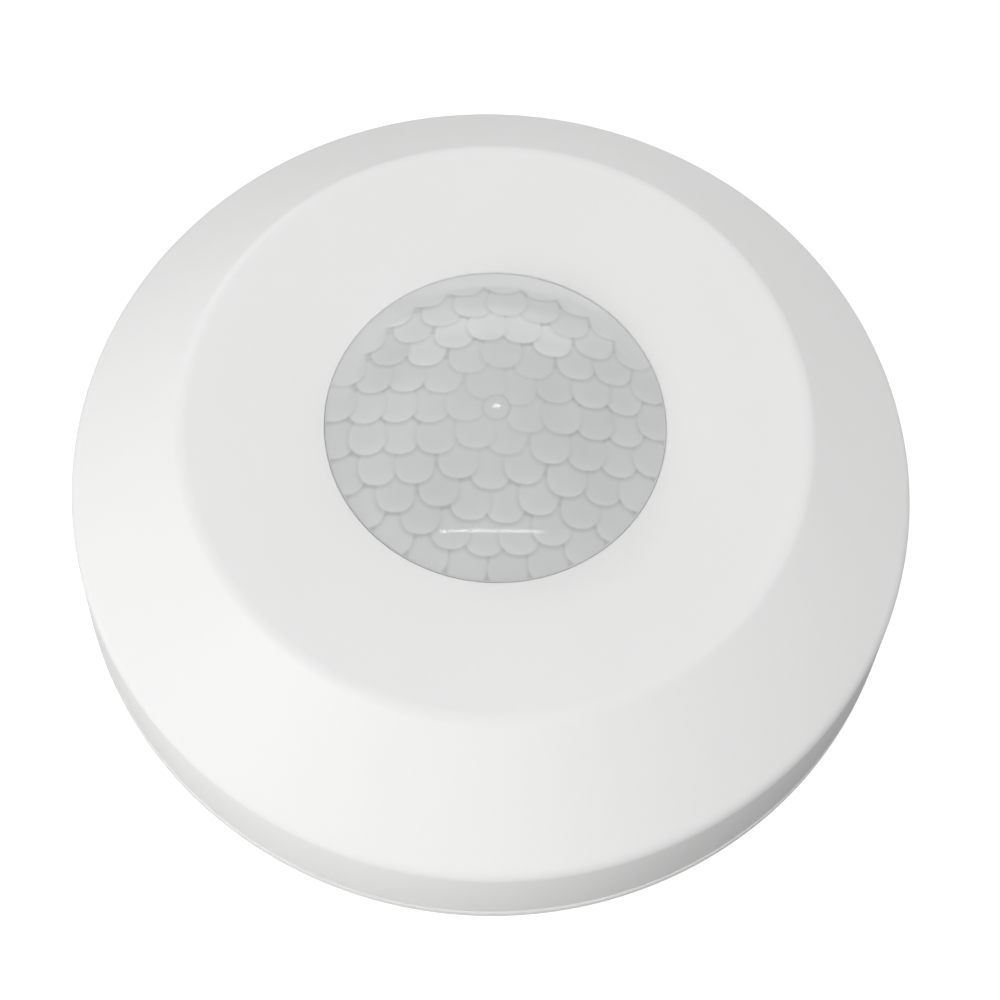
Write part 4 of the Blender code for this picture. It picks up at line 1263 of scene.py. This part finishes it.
def jumper():
    """The notched header, its two gilt pins, and the pull-off link with a grip dent."""
    low, high = JUMPER_LOW, JUMPER_HIGH
    cap_low, cap_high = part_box("jumper_cap")
    gap = Vector((GAP, GAP, 0))
    sockets = []
    holes = []
    for number in (1, 2):
        node = f"jumper_pin_{number}"
        pin_low, pin_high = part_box(node)
        holes.append(box_mesh(pin_low - gap - Vector((0, 0, 1 * MM)), pin_high + gap))
        sockets.append(box_mesh(pin_low - gap, pin_high + gap + Vector((0, 0, 0.6 * MM))))
        stand_in(f"header_pin_{number}", box_mesh(pin_low, pin_high, 0.12 * MM), node)
    middle = middle_of("jumper_cap")[0]
    notch = slab(middle, 0.25 * MM, low.y - 1 * MM, high.y + 1 * MM, high.z - 0.5 * MM, 2 * high.z)
    header = cut_away(box_mesh(low, high, 0.2 * MM), *holes, notch)
    stand_in("jumper_base", smooth(header), "jumper_block")
    dent_low = cap_high.z - 1.2 * MM
    dent = slab(middle, 0.5 * MM, cap_low.y - 1 * MM, cap_low.y + 0.5 * MM, dent_low, cap_high.z + 1 * MM)
    link = cut_away(box_mesh(cap_low, cap_high, 0.2 * MM, 3), *sockets, dent)
    stand_in("jumper_link", smooth(link), "jumper_cap")


# ---------------- stage


def pale_floor():
    """A wide pale floor under the back face. The eye sees it white, and it throws back less light."""
    shape = bmesh.new()
    level = Matrix.Translation((0, 0, BASE_LOW.z - 0.1 * MM))
    bmesh.ops.create_grid(shape, x_segments=1, y_segments=1, size=FLOOR_SIZE / 2, matrix=level)
    mesh = finished(shape)
    floor = bpy.data.objects.new("floor", mesh)
    bpy.context.scene.collection.objects.link(floor)
    look, tree, shader = new_material("floor")
    across = add_node(tree, "ShaderNodeSeparateXYZ", Vector=object_place(tree)).outputs["X"]
    bounce = remap(tree, across, FLOOR_LIGHT, FLOOR_DARK, -0.12, 0.06)
    seen = add_node(tree, "ShaderNodeLightPath").outputs["Is Camera Ray"]
    fill(tree, shader, Base_Color=tint(tree, (1.0, 1.0, 1.0), bounce), Roughness=0.9)
    fill(tree, shader, Emission_Color=(1, 1, 1, 1), Emission_Strength=seen)
    mesh.materials.append(look)


def studio_world():
    """White to the camera and dimmer in reflections. It lights nothing."""
    world = bpy.data.worlds.new("studio")
    bpy.context.scene.world = world
    world.use_nodes = True
    tree = world.node_tree
    background = tree.nodes["Background"]
    ray = add_node(tree, "ShaderNodeLightPath").outputs
    mirrored = maths(tree, "MULTIPLY", ray["Is Glossy Ray"], REFLECTED_AMBIENT)
    strength = maths(tree, "MAXIMUM", ray["Is Camera Ray"], mirrored)
    fill(tree, background, Color=(1, 1, 1, 1), Strength=strength)


def area_light(name, azimuth, elevation, distance, width, height, power):
    """An area light that faces the object."""
    around = math.radians(azimuth)
    up = math.radians(elevation)
    way = Vector((math.sin(around) * math.cos(up), -math.cos(around) * math.cos(up), math.sin(up)))
    light = bpy.data.objects.new(name, bpy.data.lights.new(name, "AREA"))
    light.data.shape = "RECTANGLE"
    light.data.size = width
    light.data.size_y = height
    light.data.energy = power
    light.location = way * distance
    light.rotation_mode = "QUATERNION"
    light.rotation_quaternion = way.to_track_quat("Z", "Y")
    bpy.context.scene.collection.objects.link(light)
    return light


def studio_lights():
    for name, azimuth, elevation, power in SOFT_LIGHTS:
        light = area_light(name, azimuth, elevation, SOFT_DISTANCE, SOFT_SIZE, SOFT_SIZE, power)
        light.visible_glossy = False
    for name, azimuth, elevation, width, height, power in REFLECTED_LIGHTS:
        light = area_light(name, azimuth, elevation, REFLECTED_DISTANCE, width, height, power)
        light.visible_diffuse = False


def photo_camera():
    """Looks down at the object from in front, with its axis leaning a little to the right."""
    data = bpy.data.cameras.new("camera")
    data.lens = CAMERA_LENS
    data.sensor_width = CAMERA_SENSOR
    data.clip_start = 0.01
    data.clip_end = 20.0
    camera = bpy.data.objects.new("camera", data)
    bpy.context.scene.collection.objects.link(camera)
    bpy.context.scene.camera = camera
    tilt = math.radians(CAMERA_TILT)
    back = Vector((0, -math.sin(tilt), math.cos(tilt)))
    upright = (-back).to_track_quat("-Z", "Y").to_matrix()
    rolled = upright @ Matrix.Rotation(math.radians(CAMERA_ROLL), 3, "Z")
    camera.location = back * CAMERA_DISTANCE
    aim = rolled @ Vector((AIM_RIGHT, AIM_UP, 0)) - camera.location
    swing = (-back).rotation_difference(aim)
    camera.rotation_mode = "QUATERNION"
    camera.rotation_quaternion = swing @ rolled.to_quaternion()


finish_cad_nodes()
base_plate()
grommet()
head_tray()
board()
board_copper()
board_tracks()
board_print()
pan_screws()
detector()
lamp()
terminals()
clamp_screws()
relay()
capacitor("capacitor_large")
capacitor("capacitor_small")
chip("controller_chip", 8)
chip("amplifier_chip", 4)
small_parts()
tamper_switch()
option_switches()
trimmer()
jumper()
cover_shell()
retainer_ring()
lens_dome()
pale_floor()
studio_world()
studio_lights()
photo_camera()
bpy.context.scene.view_settings.view_transform = "Standard"
